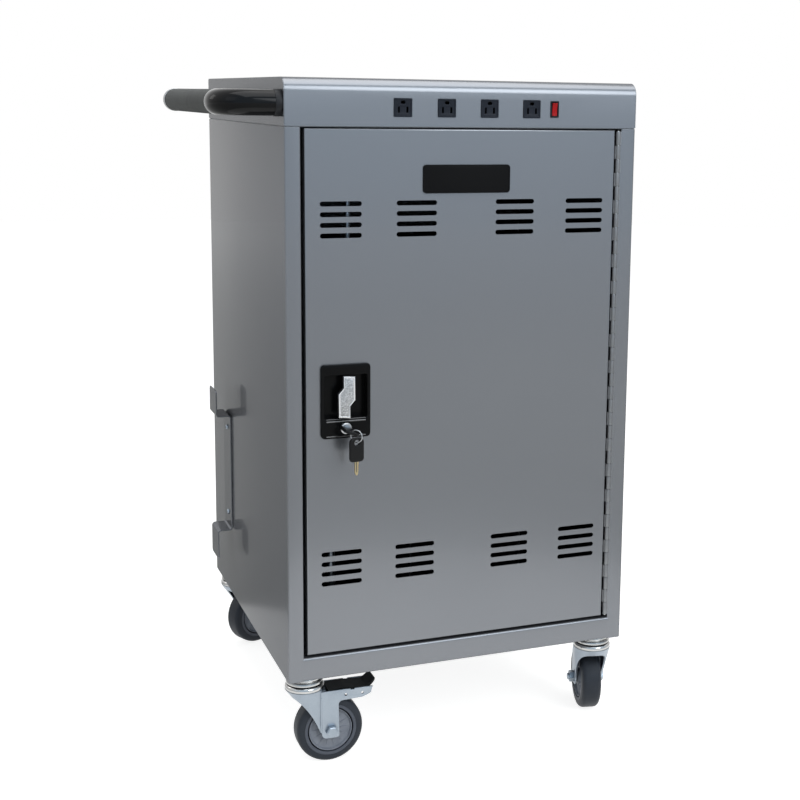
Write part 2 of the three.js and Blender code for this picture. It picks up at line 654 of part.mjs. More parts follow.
function pan(left, right, bottom, top, y0, y1) {
  const outer = block(left, right, y0, y1, bottom, top);
  const [front, back] = [y0 - OVERRUN, y1 + OVERRUN];
  return cut(outer, block(left + SHEET, right - SHEET, front, back, bottom + SHEET, top - SHEET));
}

const frontSkin = doorSkin(DOOR_LEFT, DOOR_RIGHT, DOOR_BOTTOM, DOOR_TOP, VENT_OFFSETS);
const tubHalf = RECESS_HALF + TUB_WALL;
const tubHole = tubHalf + CLEAR;
frontSkin.holes.push(roundedRect(
  LOCK_X - tubHole, LOCK_X + tubHole, LEVER_Z - tubHole, LEVER_Z + tubHole, TUB_RADIUS, THREE.Path,
));
const collarRadius = PLUG_RADIUS + 2 * CLEAR;
frontSkin.holes.push(ring(LOCK_X, KEY_Z, collarRadius + CLEAR));
const GUIDE = { width: 18, thick: 4, end: 8, z: [96, 744] };
const guides = GUIDE.z.map((z, i) => {
  const x = i === 0 ? lowerRodX : upperRodX;
  const [x0, x1] = [x - GUIDE.width / 2, x + GUIDE.width / 2];
  const arm = block(x0, x1, SHEET / 2, ROD_Y + GUIDE.end, z - GUIDE.thick / 2, z + GUIDE.thick / 2);
  return cut(arm, rodUp(x, ROD_Y, z - OVERRUN, z + OVERRUN, ROD_RADIUS + CLEAR));
});
const frontDoor = join(
  extrudeBack(frontSkin, 0, SHEET),
  pan(DOOR_LEFT, DOOR_RIGHT, DOOR_BOTTOM, DOOR_TOP, SHEET / 2, DOOR_THICK),
  ...guides,
);
addPart('front_door', frontDoor, materials.paint);

const BADGE = { left: 201.5, right: 335.5, bottom: 713, top: 754, thick: 2, radius: 5 };
const badge = roundedRect(BADGE.left, BADGE.right, BADGE.bottom, BADGE.top, BADGE.radius);
addPart('badge_plate', extrudeBack(badge, -CLEAR - BADGE.thick, -CLEAR), materials.plastic);

// Continuous hinge: two leaves with alternate knuckles on one long pin
const hingeBottom = DOOR_BOTTOM + 2;
const hingeTop = DOOR_TOP - 2;
const knucklePitch = (hingeTop - hingeBottom) / KNUCKLE_COUNT;

// A leaf's plate stays behind its straps, so that the open door's leaf clears the frame's leaf
function hingeLeaf(plateX0, plateX1, first) {
  const plate = block(plateX0, plateX1, HINGE_Y + half / 2, STILE_RETURN - 1, hingeBottom, hingeTop);
  const knuckleShape = disc(KNUCKLE_RADIUS);
  const pieces = [];
  for (let i = first; i < KNUCKLE_COUNT; i += 2) {
    const z0 = hingeBottom + i * knucklePitch + CLEAR / 2;
    const z1 = z0 + knucklePitch - CLEAR;
    const barrel = extrudeUp(knuckleShape, z0, z1, 3).translate(HINGE_X, HINGE_Y, 0);
    const strap = block(
      Math.min(plateX0, HINGE_X), Math.max(plateX1, HINGE_X), HINGE_Y - half, HINGE_Y + half, z0, z1,
    );
    pieces.push(toSolid(barrel).add(toSolid(strap)));
  }
  const bore = toSolid(rodUp(HINGE_X, HINGE_Y, hingeBottom - OVERRUN, hingeTop + OVERRUN, KNUCKLE_BORE, 6));
  return toGeometry(pieces.reduce((sum, next) => sum.add(next), toSolid(plate)).subtract(bore));
}

const doorLeafX = DOOR_RIGHT + CLEAR;
const frameLeafX = WIDTH - STILE - CLEAR;
addPart('front_hinge_door_leaf', hingeLeaf(doorLeafX, doorLeafX + 1, 1), materials.zinc);
addPart('front_hinge_frame_leaf', hingeLeaf(frameLeafX - 1, frameLeafX, 0), materials.zinc);
const hingePin = rodUp(HINGE_X, HINGE_Y, hingeBottom - 1, hingeTop + 1, HINGE_PIN_RADIUS, 6);
addPart('front_hinge_pin', hingePin, materials.zinc);

// Lock: a moulded plate with a square finger recess, the turning lever and the key plug below it
const plate = extrudeBack(
  roundedRect(LOCK_X - LOCK_PLATE.width / 2, LOCK_X + LOCK_PLATE.width / 2,
    LOCK_PLATE.bottom, LOCK_PLATE.top, LOCK_PLATE.radius),
  -LOCK_PLATE.proud, -CLEAR,
);
const tub = extrudeBack(
  roundedRect(LOCK_X - tubHalf, LOCK_X + tubHalf, LEVER_Z - tubHalf, LEVER_Z + tubHalf, TUB_RADIUS),
  -1, TUB_BACK,
);
const collar = rodBack(LOCK_X, KEY_Z, -1, TUB_BACK, collarRadius);
const recess = extrudeBack(
  roundedRect(LOCK_X - RECESS_HALF, LOCK_X + RECESS_HALF, LEVER_Z - RECESS_HALF, LEVER_Z + RECESS_HALF, 3),
  -OVERRUN, TUB_BACK - TUB_WALL,
);
const SPINDLE_RADIUS = 5.5;
const SPINDLE_END_RADIUS = 4;
const spindleHole = rodBack(LOCK_X, LEVER_Z, 0, TUB_BACK + OVERRUN, SPINDLE_RADIUS + CLEAR);
const plugHole = rodBack(LOCK_X, KEY_Z, -OVERRUN, TUB_BACK + OVERRUN, PLUG_RADIUS + CLEAR);
const escutcheon = cut(join(plate, tub, collar), recess, spindleHole, plugHole);
addPart('lock_escutcheon', escutcheon, materials.plastic);

// The lever's outline from the front: two slanted lugs, one up to the right and one down to the left
const leverOutline = [
  [-4.6, 30.5], [-4.5, 13.4], [-12.2, 4.7], [-11.8, -29.3],
  [4.8, -30.5], [4.5, -13.4], [12.2, -4.7], [11.8, 29.3],
];
const lever = extrudeBack(polygon(leverOutline), LEVER_FRONT, LEVER_BACK);
const spindle = rodBack(0, 0, LEVER_BACK - 1, TUB_BACK + 3, SPINDLE_RADIUS);
const spindleEnd = rodBack(0, 0, TUB_BACK + 2, TUB_BACK + 9, SPINDLE_END_RADIUS);
const leverMesh = addPart('lock_lever', join(lever, spindle, spindleEnd), materials.chrome);
leverMesh.position.set(LOCK_X, 0, LEVER_Z);

const CAM = { half: 6, reach: 20, radius: 5, front: TUB_BACK + 3.4, thick: 3 };
const camArms = [0, Math.PI].map((turn) => {
  const arm = roundedRect(-CAM.half, CAM.reach, -CAM.half, CAM.half, CAM.radius);
  return extrudeBack(arm, CAM.front, CAM.front + CAM.thick).rotateY(turn);
});
const cam = cut(join(...camArms), rodBack(0, 0, 0, CAM.front + OVERRUN, SPINDLE_END_RADIUS + CLEAR));
addPart('lock_cam', cam, materials.zinc).position.set(LOCK_X, 0, LEVER_Z);

const rodMiddleGap = 5;
const upperRod = rodUp(upperRodX, ROD_Y, LEVER_Z + rodMiddleGap, ROD_TOP, ROD_RADIUS);
const lowerRod = rodUp(lowerRodX, ROD_Y, ROD_BOTTOM, LEVER_Z - rodMiddleGap, ROD_RADIUS);
addPart('upper_lock_rod', upperRod, materials.zinc);
addPart('lower_lock_rod', lowerRod, materials.zinc);

// Key plug, the key in it, the ring through the key's bow and the spare key on the ring
const KEY = {
  blade: 8, bladeThick: 2, reach: 20, tip: 4, bow: 22, bowLength: 32, bowThick: 5, hole: 4.2, endMargin: 7,
  endRadius: 6, rootRadius: 5,
};
const plugFront = -LOCK_PLATE.proud - 3;
const keywayHalf = { x: KEY.blade / 2 + 0.4, z: KEY.bladeThick / 2 + 0.4 };
const keyway = block(
  -keywayHalf.x, keywayHalf.x, plugFront - OVERRUN, TUB_BACK + 2, -keywayHalf.z, keywayHalf.z,
);
const plug = cut(rodBack(0, 0, plugFront, TUB_BACK + 4, PLUG_RADIUS), keyway);
const lockTurn = new THREE.Group();
lockTurn.position.set(LOCK_X, 0, KEY_Z);
lockTurn.rotation.y = KEY_TILT;
cart.add(lockTurn);
addPart('lock_cylinder', plug, materials.chrome, lockTurn);

// A key lying in the (x, y) plane with its tip at the back; holeY is the middle of its bow hole
function keyBlank(holeY) {
  const { endRadius, rootRadius, tip } = KEY;
  const bowEnd = holeY - KEY.endMargin;
  const bowRoot = bowEnd + KEY.bowLength;
  const shape = new THREE.Shape();
  shape.absarc(KEY.bow / 2 - endRadius, bowEnd + endRadius, endRadius, -Math.PI / 2, 0);
  shape.absarc(KEY.bow / 2 - rootRadius, bowRoot - rootRadius, rootRadius, 0, Math.PI / 2);
  shape.absarc(rootRadius - KEY.bow / 2, bowRoot - rootRadius, rootRadius, Math.PI / 2, Math.PI);
  shape.absarc(endRadius - KEY.bow / 2, bowEnd + endRadius, endRadius, Math.PI, Math.PI * 1.5);
  shape.closePath();
  shape.holes.push(ring(0, holeY, KEY.hole));
  const bow = extrudeUp(shape, -KEY.bowThick / 2, KEY.bowThick / 2, 3);
  const blade = polygon([
    [-KEY.blade / 2, bowRoot - tip],
    [KEY.blade / 2, bowRoot - tip],
    [KEY.blade / 2, bowRoot + KEY.reach - tip],
    [0, bowRoot + KEY.reach],
    [-KEY.blade / 2, bowRoot + KEY.reach - tip],
  ]);
  return join(bow, extrudeUp(blade, -KEY.bladeThick / 2, KEY.bladeThick / 2));
}

addPart('lock_key', keyBlank(KEY_HOLE_Y), materials.gloss, lockTurn);

const ringTurn = -Math.PI / 4;
const ringDrop = KEY_RING_RADIUS / 2;
const ringAside = Math.sqrt(KEY_RING_RADIUS ** 2 - ringDrop ** 2);
const keyRing = new THREE.Group();
keyRing.position.set(
  LOCK_X + ringAside * Math.cos(ringTurn), KEY_HOLE_Y + ringAside * Math.sin(ringTurn), KEY_Z - ringDrop,
);
keyRing.rotation.z = ringTurn;
cart.add(keyRing);
const ringShape = new THREE.TorusGeometry(KEY_RING_RADIUS, KEY_RING_WIRE, 6, 20).rotateX(Math.PI / 2);
addPart('key_ring', ringShape, materials.zinc, keyRing);
const spare = addPart('spare_key', keyBlank(0), materials.gloss, keyRing);
spare.position.z = -KEY_RING_RADIUS;
spare.rotation.set(-Math.PI / 2, 0, SPARE_TURN - ringTurn, 'ZXY');

// Rear door: a pan with the same vents, turning on studs at its right edge, and its cam lock
const rearSkin = doorSkin(REAR_LEFT, REAR_RIGHT, DOOR_BOTTOM, DOOR_TOP, REAR_VENT_OFFSETS);
rearSkin.holes.push(ring(REAR_LOCK.x, REAR_LOCK.z, REAR_LOCK.hole));
const studs = [[RAIL_TOP - BASE_SHEET - 3, DOOR_BOTTOM + 1], [DOOR_TOP - 1, ceilingZ + 4]];
const rearDoor = join(
  extrudeBack(rearSkin, DEPTH - SHEET, DEPTH),
  pan(REAR_LEFT, REAR_RIGHT, DOOR_BOTTOM, DOOR_TOP, DEPTH - REAR_THICK, DEPTH - SHEET / 2),
  ...studs.map(([z0, z1]) => rodUp(REAR_PIVOT.x, REAR_PIVOT.y, z0, z1, REAR_PIVOT.radius)),
);
addPart('rear_door', rearDoor, materials.paint);
const camY = DEPTH - REAR_THICK - 4;
const rearLock = join(
  rodBack(0, 0, DEPTH + CLEAR, DEPTH + 3, REAR_LOCK.flange),
  rodBack(0, 0, camY, DEPTH + 1, REAR_LOCK.barrel),
  extrudeBack(roundedRect(-6, 6, -6, REAR_LOCK.camReach, 5), camY, camY + 2 * SHEET),
);
addPart('rear_cam_lock', rearLock, materials.chrome).position.set(REAR_LOCK.x, 0, REAR_LOCK.z);

// Casters: a bolted head, the swivelling fork, its axle bolt, the wheel, and a pedal on the left pair
const HEAD = { radius: 28, bottom: -14.6 };
const CROWN = { radius: 29.5, top: -15.2, bottom: -24 };

function casterHead() {
  return turned([
    [0, HEAD.bottom], [HEAD.radius - 3, HEAD.bottom], [HEAD.radius, HEAD.bottom + 3], [HEAD.radius, -2],
    [HEAD.radius - 2, -CLEAR], [STEM_RADIUS, -CLEAR], [STEM_RADIUS, BASE_SHEET + CLEAR],
    [10, BASE_SHEET + CLEAR], [10, BASE_SHEET + 9], [0, BASE_SHEET + 9],
  ], 14);
}

function casterFork(braked) {
  const crown = turned([
    [0, CROWN.bottom], [CROWN.radius - 1, CROWN.bottom], [CROWN.radius, CROWN.top - 4],
    [CROWN.radius - 2, CROWN.top], [0, CROWN.top],
  ], 16);
  const axle = CASTER_TRAIL;
  const outline = new THREE.Shape();
  outline.moveTo(-27, -17);
  outline.lineTo(-27, -24);
  outline.lineTo(-10, -44);
  outline.lineTo(axle - 15, AXLE_Z - 3);
  outline.absarc(axle - 6, AXLE_Z - 3, 8, Math.PI * 0.95, Math.PI * 1.5);
  outline.lineTo(axle + 12, AXLE_Z - 11);
  outline.lineTo(axle + 11, -49);
  if (braked) {
    outline.lineTo(axle + 14, -44);
    outline.lineTo(88, -43);
    outline.lineTo(98, -36);
    outline.lineTo(100, -28);
    outline.lineTo(50, -27);
  } else {
    outline.lineTo(axle + 6, -34);
  }
  outline.lineTo(27, -17);
  outline.closePath();
  const legs = [-1, 1].map((side) => {
    const [y0, y1] = [FORK_INNER, FORK_INNER + FORK_SHEET].map((y) => side * y).sort((a, b) => a - b);
    return extrudeBack(outline, y0, y1);
  });
  const webWidth = FORK_INNER + 1;
  const web = block(-26, 26, -webWidth, webWidth, CROWN.bottom, CROWN.bottom + 3);
  const bore = rodBack(axle, AXLE_Z, -40, 40, 5 + CLEAR, 12);
  return cut(join(crown, web, ...legs), bore);
}

function casterWheel() {
  const [outer, edge] = [WHEEL_RADIUS, WHEEL_WIDTH / 2];
  return turned([
    [5.6, -edge], [13, -edge], [14, 5 - edge], [32, 5 - edge], [34, -edge], [44, -edge], [outer, 8 - edge],
    [outer, edge - 8], [44, edge], [34, edge], [32, edge - 5], [14, edge - 5], [13, edge], [5.6, edge],
    [5.6, -edge],
  ], 22).rotateX(-Math.PI / 2).translate(CASTER_TRAIL, 0, AXLE_Z);
}

function casterAxle() {
  const face = FORK_INNER + FORK_SHEET + CLEAR;
  const shank = rodBack(CASTER_TRAIL, AXLE_Z, -face - 1, face + 1, 5, 12);
  const head = rodBack(CASTER_TRAIL, AXLE_Z, -face - 6.5, -face, 9.5, 6);
  const nut = rodBack(CASTER_TRAIL, AXLE_Z, face, face + 8, 9.5, 6);
  return join(shank, head, nut);
}

const PEDAL = { inner: 33, outer: 106, half: 17, top: -26, thick: 3 };

function brakePedal() {
  const middle = PEDAL.top - PEDAL.thick / 2;
  const path = [[PEDAL.inner, middle - 1], [58, middle], [92, middle - 3], [PEDAL.outer, middle + 8]];
  return extrudeBack(bentStrip(path, PEDAL.thick, 5), -PEDAL.half, PEDAL.half);
}

for (const [corner, spot] of Object.entries(casterSpots)) {
  const caster = new THREE.Group();
  caster.position.set(spot.x, spot.y, 0);
  caster.rotation.z = THREE.MathUtils.degToRad(spot.turn);
  cart.add(caster);
  addPart(`${corner}_caster_head`, casterHead(), materials.zinc, caster);
  addPart(`${corner}_caster_fork`, casterFork(spot.braked), materials.zinc, caster);
  addPart(`${corner}_caster_wheel`, casterWheel(), materials.rubber, caster);
  addPart(`${corner}_caster_axle`, casterAxle(), materials.zinc, caster);
  if (spot.braked) addPart(`${corner}_brake_pedal`, brakePedal(), materials.plastic, caster);
}

// The origin goes to the floor, under the middle of the cart's box
const box = new THREE.Box3().setFromObject(cart);
const middle = box.getCenter(new THREE.Vector3());
cart.position.set(-middle.x, -middle.y, -box.min.z);

export default cart;
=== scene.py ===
import json
import math

import bmesh
import bpy
from mathutils import Matrix, Vector


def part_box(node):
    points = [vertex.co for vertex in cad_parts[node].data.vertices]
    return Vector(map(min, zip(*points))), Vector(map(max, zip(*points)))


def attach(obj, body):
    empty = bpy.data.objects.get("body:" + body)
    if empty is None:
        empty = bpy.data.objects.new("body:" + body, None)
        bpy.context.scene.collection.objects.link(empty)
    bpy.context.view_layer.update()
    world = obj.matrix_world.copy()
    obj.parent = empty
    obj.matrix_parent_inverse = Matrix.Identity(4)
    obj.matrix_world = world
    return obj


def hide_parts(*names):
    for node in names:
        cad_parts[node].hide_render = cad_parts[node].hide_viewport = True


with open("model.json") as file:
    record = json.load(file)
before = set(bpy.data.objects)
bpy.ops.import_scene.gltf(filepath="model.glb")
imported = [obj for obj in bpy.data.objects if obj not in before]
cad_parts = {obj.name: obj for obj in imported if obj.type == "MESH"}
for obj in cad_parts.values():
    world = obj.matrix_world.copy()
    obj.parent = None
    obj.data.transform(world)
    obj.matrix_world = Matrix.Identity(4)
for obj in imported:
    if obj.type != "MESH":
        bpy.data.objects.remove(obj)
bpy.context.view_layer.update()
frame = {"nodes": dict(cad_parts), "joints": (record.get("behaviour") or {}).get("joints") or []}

# The setting: a photographer's stand of view, a pale seamless floor and large soft lamps.
# The camera looks from the front left, a little down on the cart, with its frame shifted
# so that the cart stands upright in a square picture.
scene = bpy.context.scene
scene.view_settings.view_transform = "Standard"
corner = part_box("left_side_panel")[0]
CAMERA_PLACE = corner + Vector((-0.45518, -1.90499, 0.85087))
CAMERA_TILT_DOWN = 9.35
CAMERA_TURN = -22.25
CAMERA_ROLL = 0.92
camera = bpy.data.objects.new("camera", bpy.data.cameras.new("camera"))
scene.collection.objects.link(camera)
camera.data.lens = 63.1
camera.data.sensor_width = 36.0
camera.data.shift_x = -0.125
camera.data.shift_y = -0.09
turn = Matrix.Rotation(math.radians(CAMERA_TURN), 4, "Z")
tilt = Matrix.Rotation(math.radians(90.0 - CAMERA_TILT_DOWN), 4, "X")
roll = Matrix.Rotation(math.radians(CAMERA_ROLL), 4, "Z")
camera.matrix_world = Matrix.Translation(CAMERA_PLACE) @ turn @ tilt @ roll
scene.camera = camera


def soft_lamp(name, place, aim, width, height, watts, tint):
    lamp = bpy.data.lights.new(name, "AREA")
    lamp.shape = "RECTANGLE"
    lamp.size = width
    lamp.size_y = height
    lamp.energy = watts
    lamp.color = tint
    stand = bpy.data.objects.new(name, lamp)
    scene.collection.objects.link(stand)
    stand.location = place
    stand.rotation_euler = (Vector(aim) - Vector(place)).to_track_quat("-Z", "Y").to_euler()


soft_lamp("overhead", (0.2, -0.5, 3.0), (0.0, 0.0, 0.6), 2.6, 2.2, 42.0, (1.0, 1.0, 1.0))
soft_lamp("front_right", (1.3, -3.2, 2.3), (0.0, -0.2, 0.6), 1.8, 1.8, 42.0, (0.95, 0.98, 1.0))
soft_lamp("left_rear", (-2.6, 1.6, 2.2), (-0.25, 0.0, 0.9), 0.9, 1.2, 5.0, (1.0, 0.99, 0.96))
soft_lamp("left_front", (-2.6, -1.8, 2.4), (-0.2, 0.0, 0.8), 1.6, 1.6, 3.0, (1.0, 0.99, 0.97))


def shader_node(tree, kind, inputs=None, **settings):
    """Adds a node with its settings. Each input takes a value, or the output that feeds it."""
    made = tree.nodes.new(f"ShaderNode{kind}")
    for setting, value in settings.items():
        setattr(made, setting, value)
    for socket, value in (inputs or {}).items():
        if isinstance(value, bpy.types.NodeSocket):
            tree.links.new(value, made.inputs[socket])
        else:
            made.inputs[socket].default_value = value
    return made


def higher(tree, one, two):
    return shader_node(tree, "Math", {0: one, 1: two}, operation="MAXIMUM").outputs[0]


def product(tree, one, two):
    return shader_node(tree, "Math", {0: one, 1: two}, operation="MULTIPLY").outputs[0]


def span(tree, value, start, end, low=0.0, high=1.0):
    """A value that goes from low to high while the given one goes from start to end."""
    limits = {"Value": value, "From Min": start, "From Max": end, "To Min": low, "To Max": high}
    return shader_node(tree, "MapRange", limits).outputs["Result"]


world = bpy.data.worlds.new("studio")
scene.world = world
world.use_nodes = True
room = world.node_tree
room.nodes.clear()
room_rays = shader_node(room, "LightPath").outputs
room_where = shader_node(room, "TexCoord").outputs["Generated"]
room_way = shader_node(room, "SeparateXYZ", {0: room_where}).outputs
# What lights the cart is a dim room, darkest level with the eye
room_ramp = shader_node(room, "ValToRGB", {"Fac": span(room, room_way["Z"], -1.0, 1.0)})
below, above = room_ramp.color_ramp.elements
below.position, below.color = 0.40, (0.62, 0.63, 0.64, 1)
above.position, above.color = 0.80, (0.72, 0.74, 0.77, 1)
dim_band = room_ramp.color_ramp.elements.new(0.52)
dim_band.color = (0.36, 0.365, 0.37, 1)
room_light = shader_node(room, "Background", {"Color": room_ramp.outputs["Color"], "Strength": 0.62})
# Reflections see white instead, cooler towards the front and fainter low at the sides
WHITE = (1, 1, 1, 1)
COOL_WHITE = (0.70, 0.85, 1.0, 1)
room_front = product(room, span(room, room_way["Y"], 0.2, -0.7), room_rays["Is Glossy Ray"])
room_tint = shader_node(room, "Mix", {"Factor": room_front, "A": WHITE, "B": COOL_WHITE}, data_type="RGBA")
room_white = shader_node(room, "Background", {"Color": room_tint.outputs["Result"]})
room_along = shader_node(room, "Math", {0: room_way["Y"]}, operation="ABSOLUTE").outputs[0]
room_glance = span(room, room_way["Z"], -0.02, 0.4, 0.62, 1.0)
room_open = higher(room, room_glance, span(room, room_along, 0.3, 0.8))
# The camera, and rays that pass through a piece, see plain white
room_seen = higher(room, room_rays["Is Camera Ray"], room_rays["Is Transmission Ray"])
room_share = higher(room, room_seen, product(room, room_rays["Is Glossy Ray"], room_open))
room_mix = shader_node(
    room, "MixShader", {"Fac": room_share, 1: room_light.outputs[0], 2: room_white.outputs[0]},
)
shader_node(room, "OutputWorld", {"Surface": room_mix.outputs[0]})

floor_mesh = bpy.data.meshes.new("floor")
floor_shape = bmesh.new()
bmesh.ops.create_circle(floor_shape, cap_ends=True, segments=64, radius=9.0)
floor_shape.to_mesh(floor_mesh)
floor_shape.free()
floor = bpy.data.objects.new("floor", floor_mesh)
scene.collection.objects.link(floor)
floor_paper = bpy.data.materials.new("floor_paper")
floor_paper.use_nodes = True
paper = floor_paper.node_tree
paper.nodes.clear()
# Matt paper, lifted to white for the camera, and for reflections of what lies near or far off
NEAR_MIDDLE = (0.05, -0.35, 0.0)
WHITE_LIFT = 0.83
paper_rays = shader_node(paper, "LightPath").outputs
paper_where = shader_node(paper, "TexCoord").outputs["Object"]
paper_away = shader_node(
    paper, "VectorMath", {0: paper_where, 1: NEAR_MIDDLE}, operation="DISTANCE",
).outputs["Value"]
paper_near = span(paper, paper_away, 0.85, 0.89, 1.0, 0.0)
paper_glow = higher(paper, paper_near, span(paper, paper_away, 0.7, 8.0, 0.10, 0.95))
paper_seen = higher(paper, paper_rays["Is Camera Ray"], paper_rays["Is Transmission Ray"])
paper_share = higher(paper, paper_seen, product(paper, paper_rays["Is Glossy Ray"], paper_glow))
paper_lift = shader_node(paper, "Emission", {"Strength": product(paper, paper_share, WHITE_LIFT)})
paper_matt = shader_node(paper, "BsdfDiffuse", {"Color": (0.60, 0.60, 0.58, 1)})
paper_sum = shader_node(paper, "AddShader", {0: paper_matt.outputs[0], 1: paper_lift.outputs[0]})
shader_node(paper, "OutputMaterial", {"Surface": paper_sum.outputs[0]})
floor_mesh.materials.append(floor_paper)

# Side panels: one sheet of steel each, folded at the press brake into stiles front and back,
# and coated with a grey paint that holds a fine metal flake.
# Everything is drawn in millimetres from the lower left front corner of the cabinet.
CABINET = Matrix.Translation(corner) @ Matrix.Scale(0.001, 4)


def in_cabinet(node):
    low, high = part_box(node)
    return (low - corner) * 1000.0, (high - corner) * 1000.0


def middle(node):
    low, high = in_cabinet(node)
    return (low + high) / 2


def node_group(name, inputs, outputs):
    group = bpy.data.node_groups.new(name, "ShaderNodeTree")
    for label, kind, value in inputs:
        socket = group.interface.new_socket(label, in_out="INPUT", socket_type=kind)
        if value is not None:
            socket.default_value = value
    for label, kind in outputs:
        group.interface.new_socket(label, in_out="OUTPUT", socket_type=kind)
    start = group.nodes.new("NodeGroupInput")
    end = group.nodes.new("NodeGroupOutput")
    return group, start, end


# A slow drift of tone and gloss over a surface, with a fine grain as height
coat_group, coat_in, coat_out = node_group(
    "coat_drift",
    [
        ("Tone A", "NodeSocketColor", (0.5, 0.5, 0.5, 1)),
        ("Tone B", "NodeSocketColor", (0.4, 0.4, 0.4, 1)),
        ("Drift Scale", "NodeSocketFloat", 8.0),
        ("Grain Scale", "NodeSocketFloat", 900.0),
        ("Rough A", "NodeSocketFloat", 0.4),
        ("Rough B", "NodeSocketFloat", 0.5),
    ],
    [("Color", "NodeSocketColor"), ("Roughness", "NodeSocketFloat"), ("Height", "NodeSocketFloat")],
)
coat_where = shader_node(coat_group, "TexCoord").outputs["Object"]
coat_given = coat_in.outputs
drift = shader_node(
    coat_group, "TexNoise", {"Vector": coat_where, "Scale": coat_given["Drift Scale"], "Detail": 4.0},
).outputs["Fac"]
grain = shader_node(
    coat_group, "TexNoise", {"Vector": coat_where, "Scale": coat_given["Grain Scale"], "Detail": 2.0},
).outputs["Fac"]
tone = shader_node(
    coat_group, "Mix", {"Factor": drift, "A": coat_given["Tone A"], "B": coat_given["Tone B"]},
    data_type="RGBA",
)
gloss = span(coat_group, drift, 0.3, 0.7, coat_given["Rough A"], coat_given["Rough B"])
coat_group.links.new(tone.outputs["Result"], coat_out.inputs["Color"])
coat_group.links.new(gloss, coat_out.inputs["Roughness"])
coat_group.links.new(grain, coat_out.inputs["Height"])

# Metal flake: each tiny cell is a little lighter or darker than the coat
flake_group, flake_in, flake_out = node_group(
    "metal_flake",
    [
        ("Color", "NodeSocketColor", (0.5, 0.5, 0.5, 1)),
        ("Flake Scale", "NodeSocketFloat", 2200.0),
        ("Amount", "NodeSocketFloat", 0.15),
    ],
    [("Color", "NodeSocketColor")],
)
flake_given = flake_in.outputs
flake_where = shader_node(flake_group, "TexCoord").outputs["Object"]
cells = shader_node(
    flake_group, "TexVoronoi", {"Vector": flake_where, "Scale": flake_given["Flake Scale"]},
).outputs["Color"]
spark = span(flake_group, cells, 0.0, 1.0, 0.72, 1.28)
shine = shader_node(
    flake_group, "Mix", {"Factor": flake_given["Amount"], "A": flake_given["Color"], "B": spark},
    data_type="RGBA", blend_type="MULTIPLY",
)
flake_group.links.new(shine.outputs["Result"], flake_out.inputs["Color"])


def finish(name, tones, rough, drift, grain, metallic=0.0, flake=None, coat=0.0, coat_rough=0.1,
           specular=0.5, edge_tint=1.0):
    """A surface between two tones and two roughnesses. Drift is a scale, grain a scale and a depth."""
    material = bpy.data.materials.new(name)
    material.use_nodes = True
    tree = material.node_tree
    shader = tree.nodes["Principled BSDF"]
    surface = shader_node(tree, "Group", {
        "Tone A": (*tones[0], 1), "Tone B": (*tones[1], 1), "Drift Scale": drift,
        "Grain Scale": grain[0], "Rough A": rough[0], "Rough B": rough[1],
    }, node_tree=coat_group).outputs
    color = surface["Color"]
    if flake:
        sparkle = {"Color": color, "Flake Scale": flake[0], "Amount": flake[1]}
        color = shader_node(tree, "Group", sparkle, node_tree=flake_group).outputs["Color"]
    bump = shader_node(
        tree, "Bump", {"Strength": 0.6, "Distance": grain[1], "Height": surface["Height"]},
    )
    tree.links.new(color, shader.inputs["Base Color"])
    tree.links.new(surface["Roughness"], shader.inputs["Roughness"])
    tree.links.new(bump.outputs["Normal"], shader.inputs["Normal"])
    shader.inputs["Metallic"].default_value = metallic
    shader.inputs["Specular IOR Level"].default_value = specular
    shader.inputs["Specular Tint"].default_value = (edge_tint, edge_tint, edge_tint, 1)
    shader.inputs["Coat Weight"].default_value = coat
    shader.inputs["Coat Roughness"].default_value = coat_rough
    return material


body_paint = finish(
    "body_paint", ((0.234, 0.244, 0.263), (0.214, 0.224, 0.243)), (0.23, 0.268), metallic=0.7,
    drift=3.0, grain=(700.0, 0.000005), flake=(2600.0, 0.12), coat=0.22, coat_rough=0.04, specular=0.12,
    edge_tint=0.3,
)


def bent_strip(path, thickness, radii, steps=6):
    """The section of a bent sheet: its middle line, with an arc at each bend, widened both ways."""
    corners = [Vector(point) for point in path]
    headings = [(after - before).normalized() for before, after in zip(corners, corners[1:])]
    left, right = [], []

    def widen(point, heading):
        across = Vector((-heading.y, heading.x)) * thickness / 2
        left.append(point + across)
        right.append(point - across)

    widen(corners[0], headings[0])
    for i in range(1, len(corners) - 1):
        radius = radii[i - 1] if isinstance(radii, (list, tuple)) else radii
        before, after = headings[i - 1], headings[i]
        bend = math.atan2(before.x * after.y - before.y * after.x, before.dot(after))
        side = math.copysign(1.0, bend)
        start = corners[i] - before * radius * math.tan(abs(bend) / 2)
        centre = start + Vector((-before.y, before.x)) * side * radius
        for k in range(steps + 1):
            spin = Matrix.Rotation(bend * k / steps, 2)
            widen(centre + spin @ (start - centre), spin @ before)
    widen(corners[-1], headings[-1])
    return left + right[::-1]


PLANES = {"x": (1, 2, 0), "y": (0, 2, 1), "z": (0, 1, 2)}


def bridge(shape, rings):
    """Faces from each closed ring of points to the next one."""
    for one, two in zip(rings, rings[1:]):
        for k in range(len(one)):
            j = (k + 1) % len(one)
            shape.faces.new((one[k], one[j], two[j], two[k]))


def prism(outline, axis, low, high):
    """An outline, drawn across the named axis, pushed from low to high along it."""
    first, second, along = PLANES[axis]
    shape = bmesh.new()
    rings = []
    for level in (low, high):
        ring = []
        for point in outline:
            place = [0.0, 0.0, 0.0]
            place[first], place[second], place[along] = point[0], point[1], level
            ring.append(shape.verts.new(place))
        rings.append(ring)
    bridge(shape, rings)
    shape.faces.new(rings[0][::-1])
    shape.faces.new(rings[1])
    return shape


def rectangle(x0, x1, y0, y1):
    return [(x0, y0), (x1, y0), (x1, y1), (x0, y1)]


SMOOTH_ANGLE = math.radians(32)
ROUNDED_ANGLE = math.radians(40)


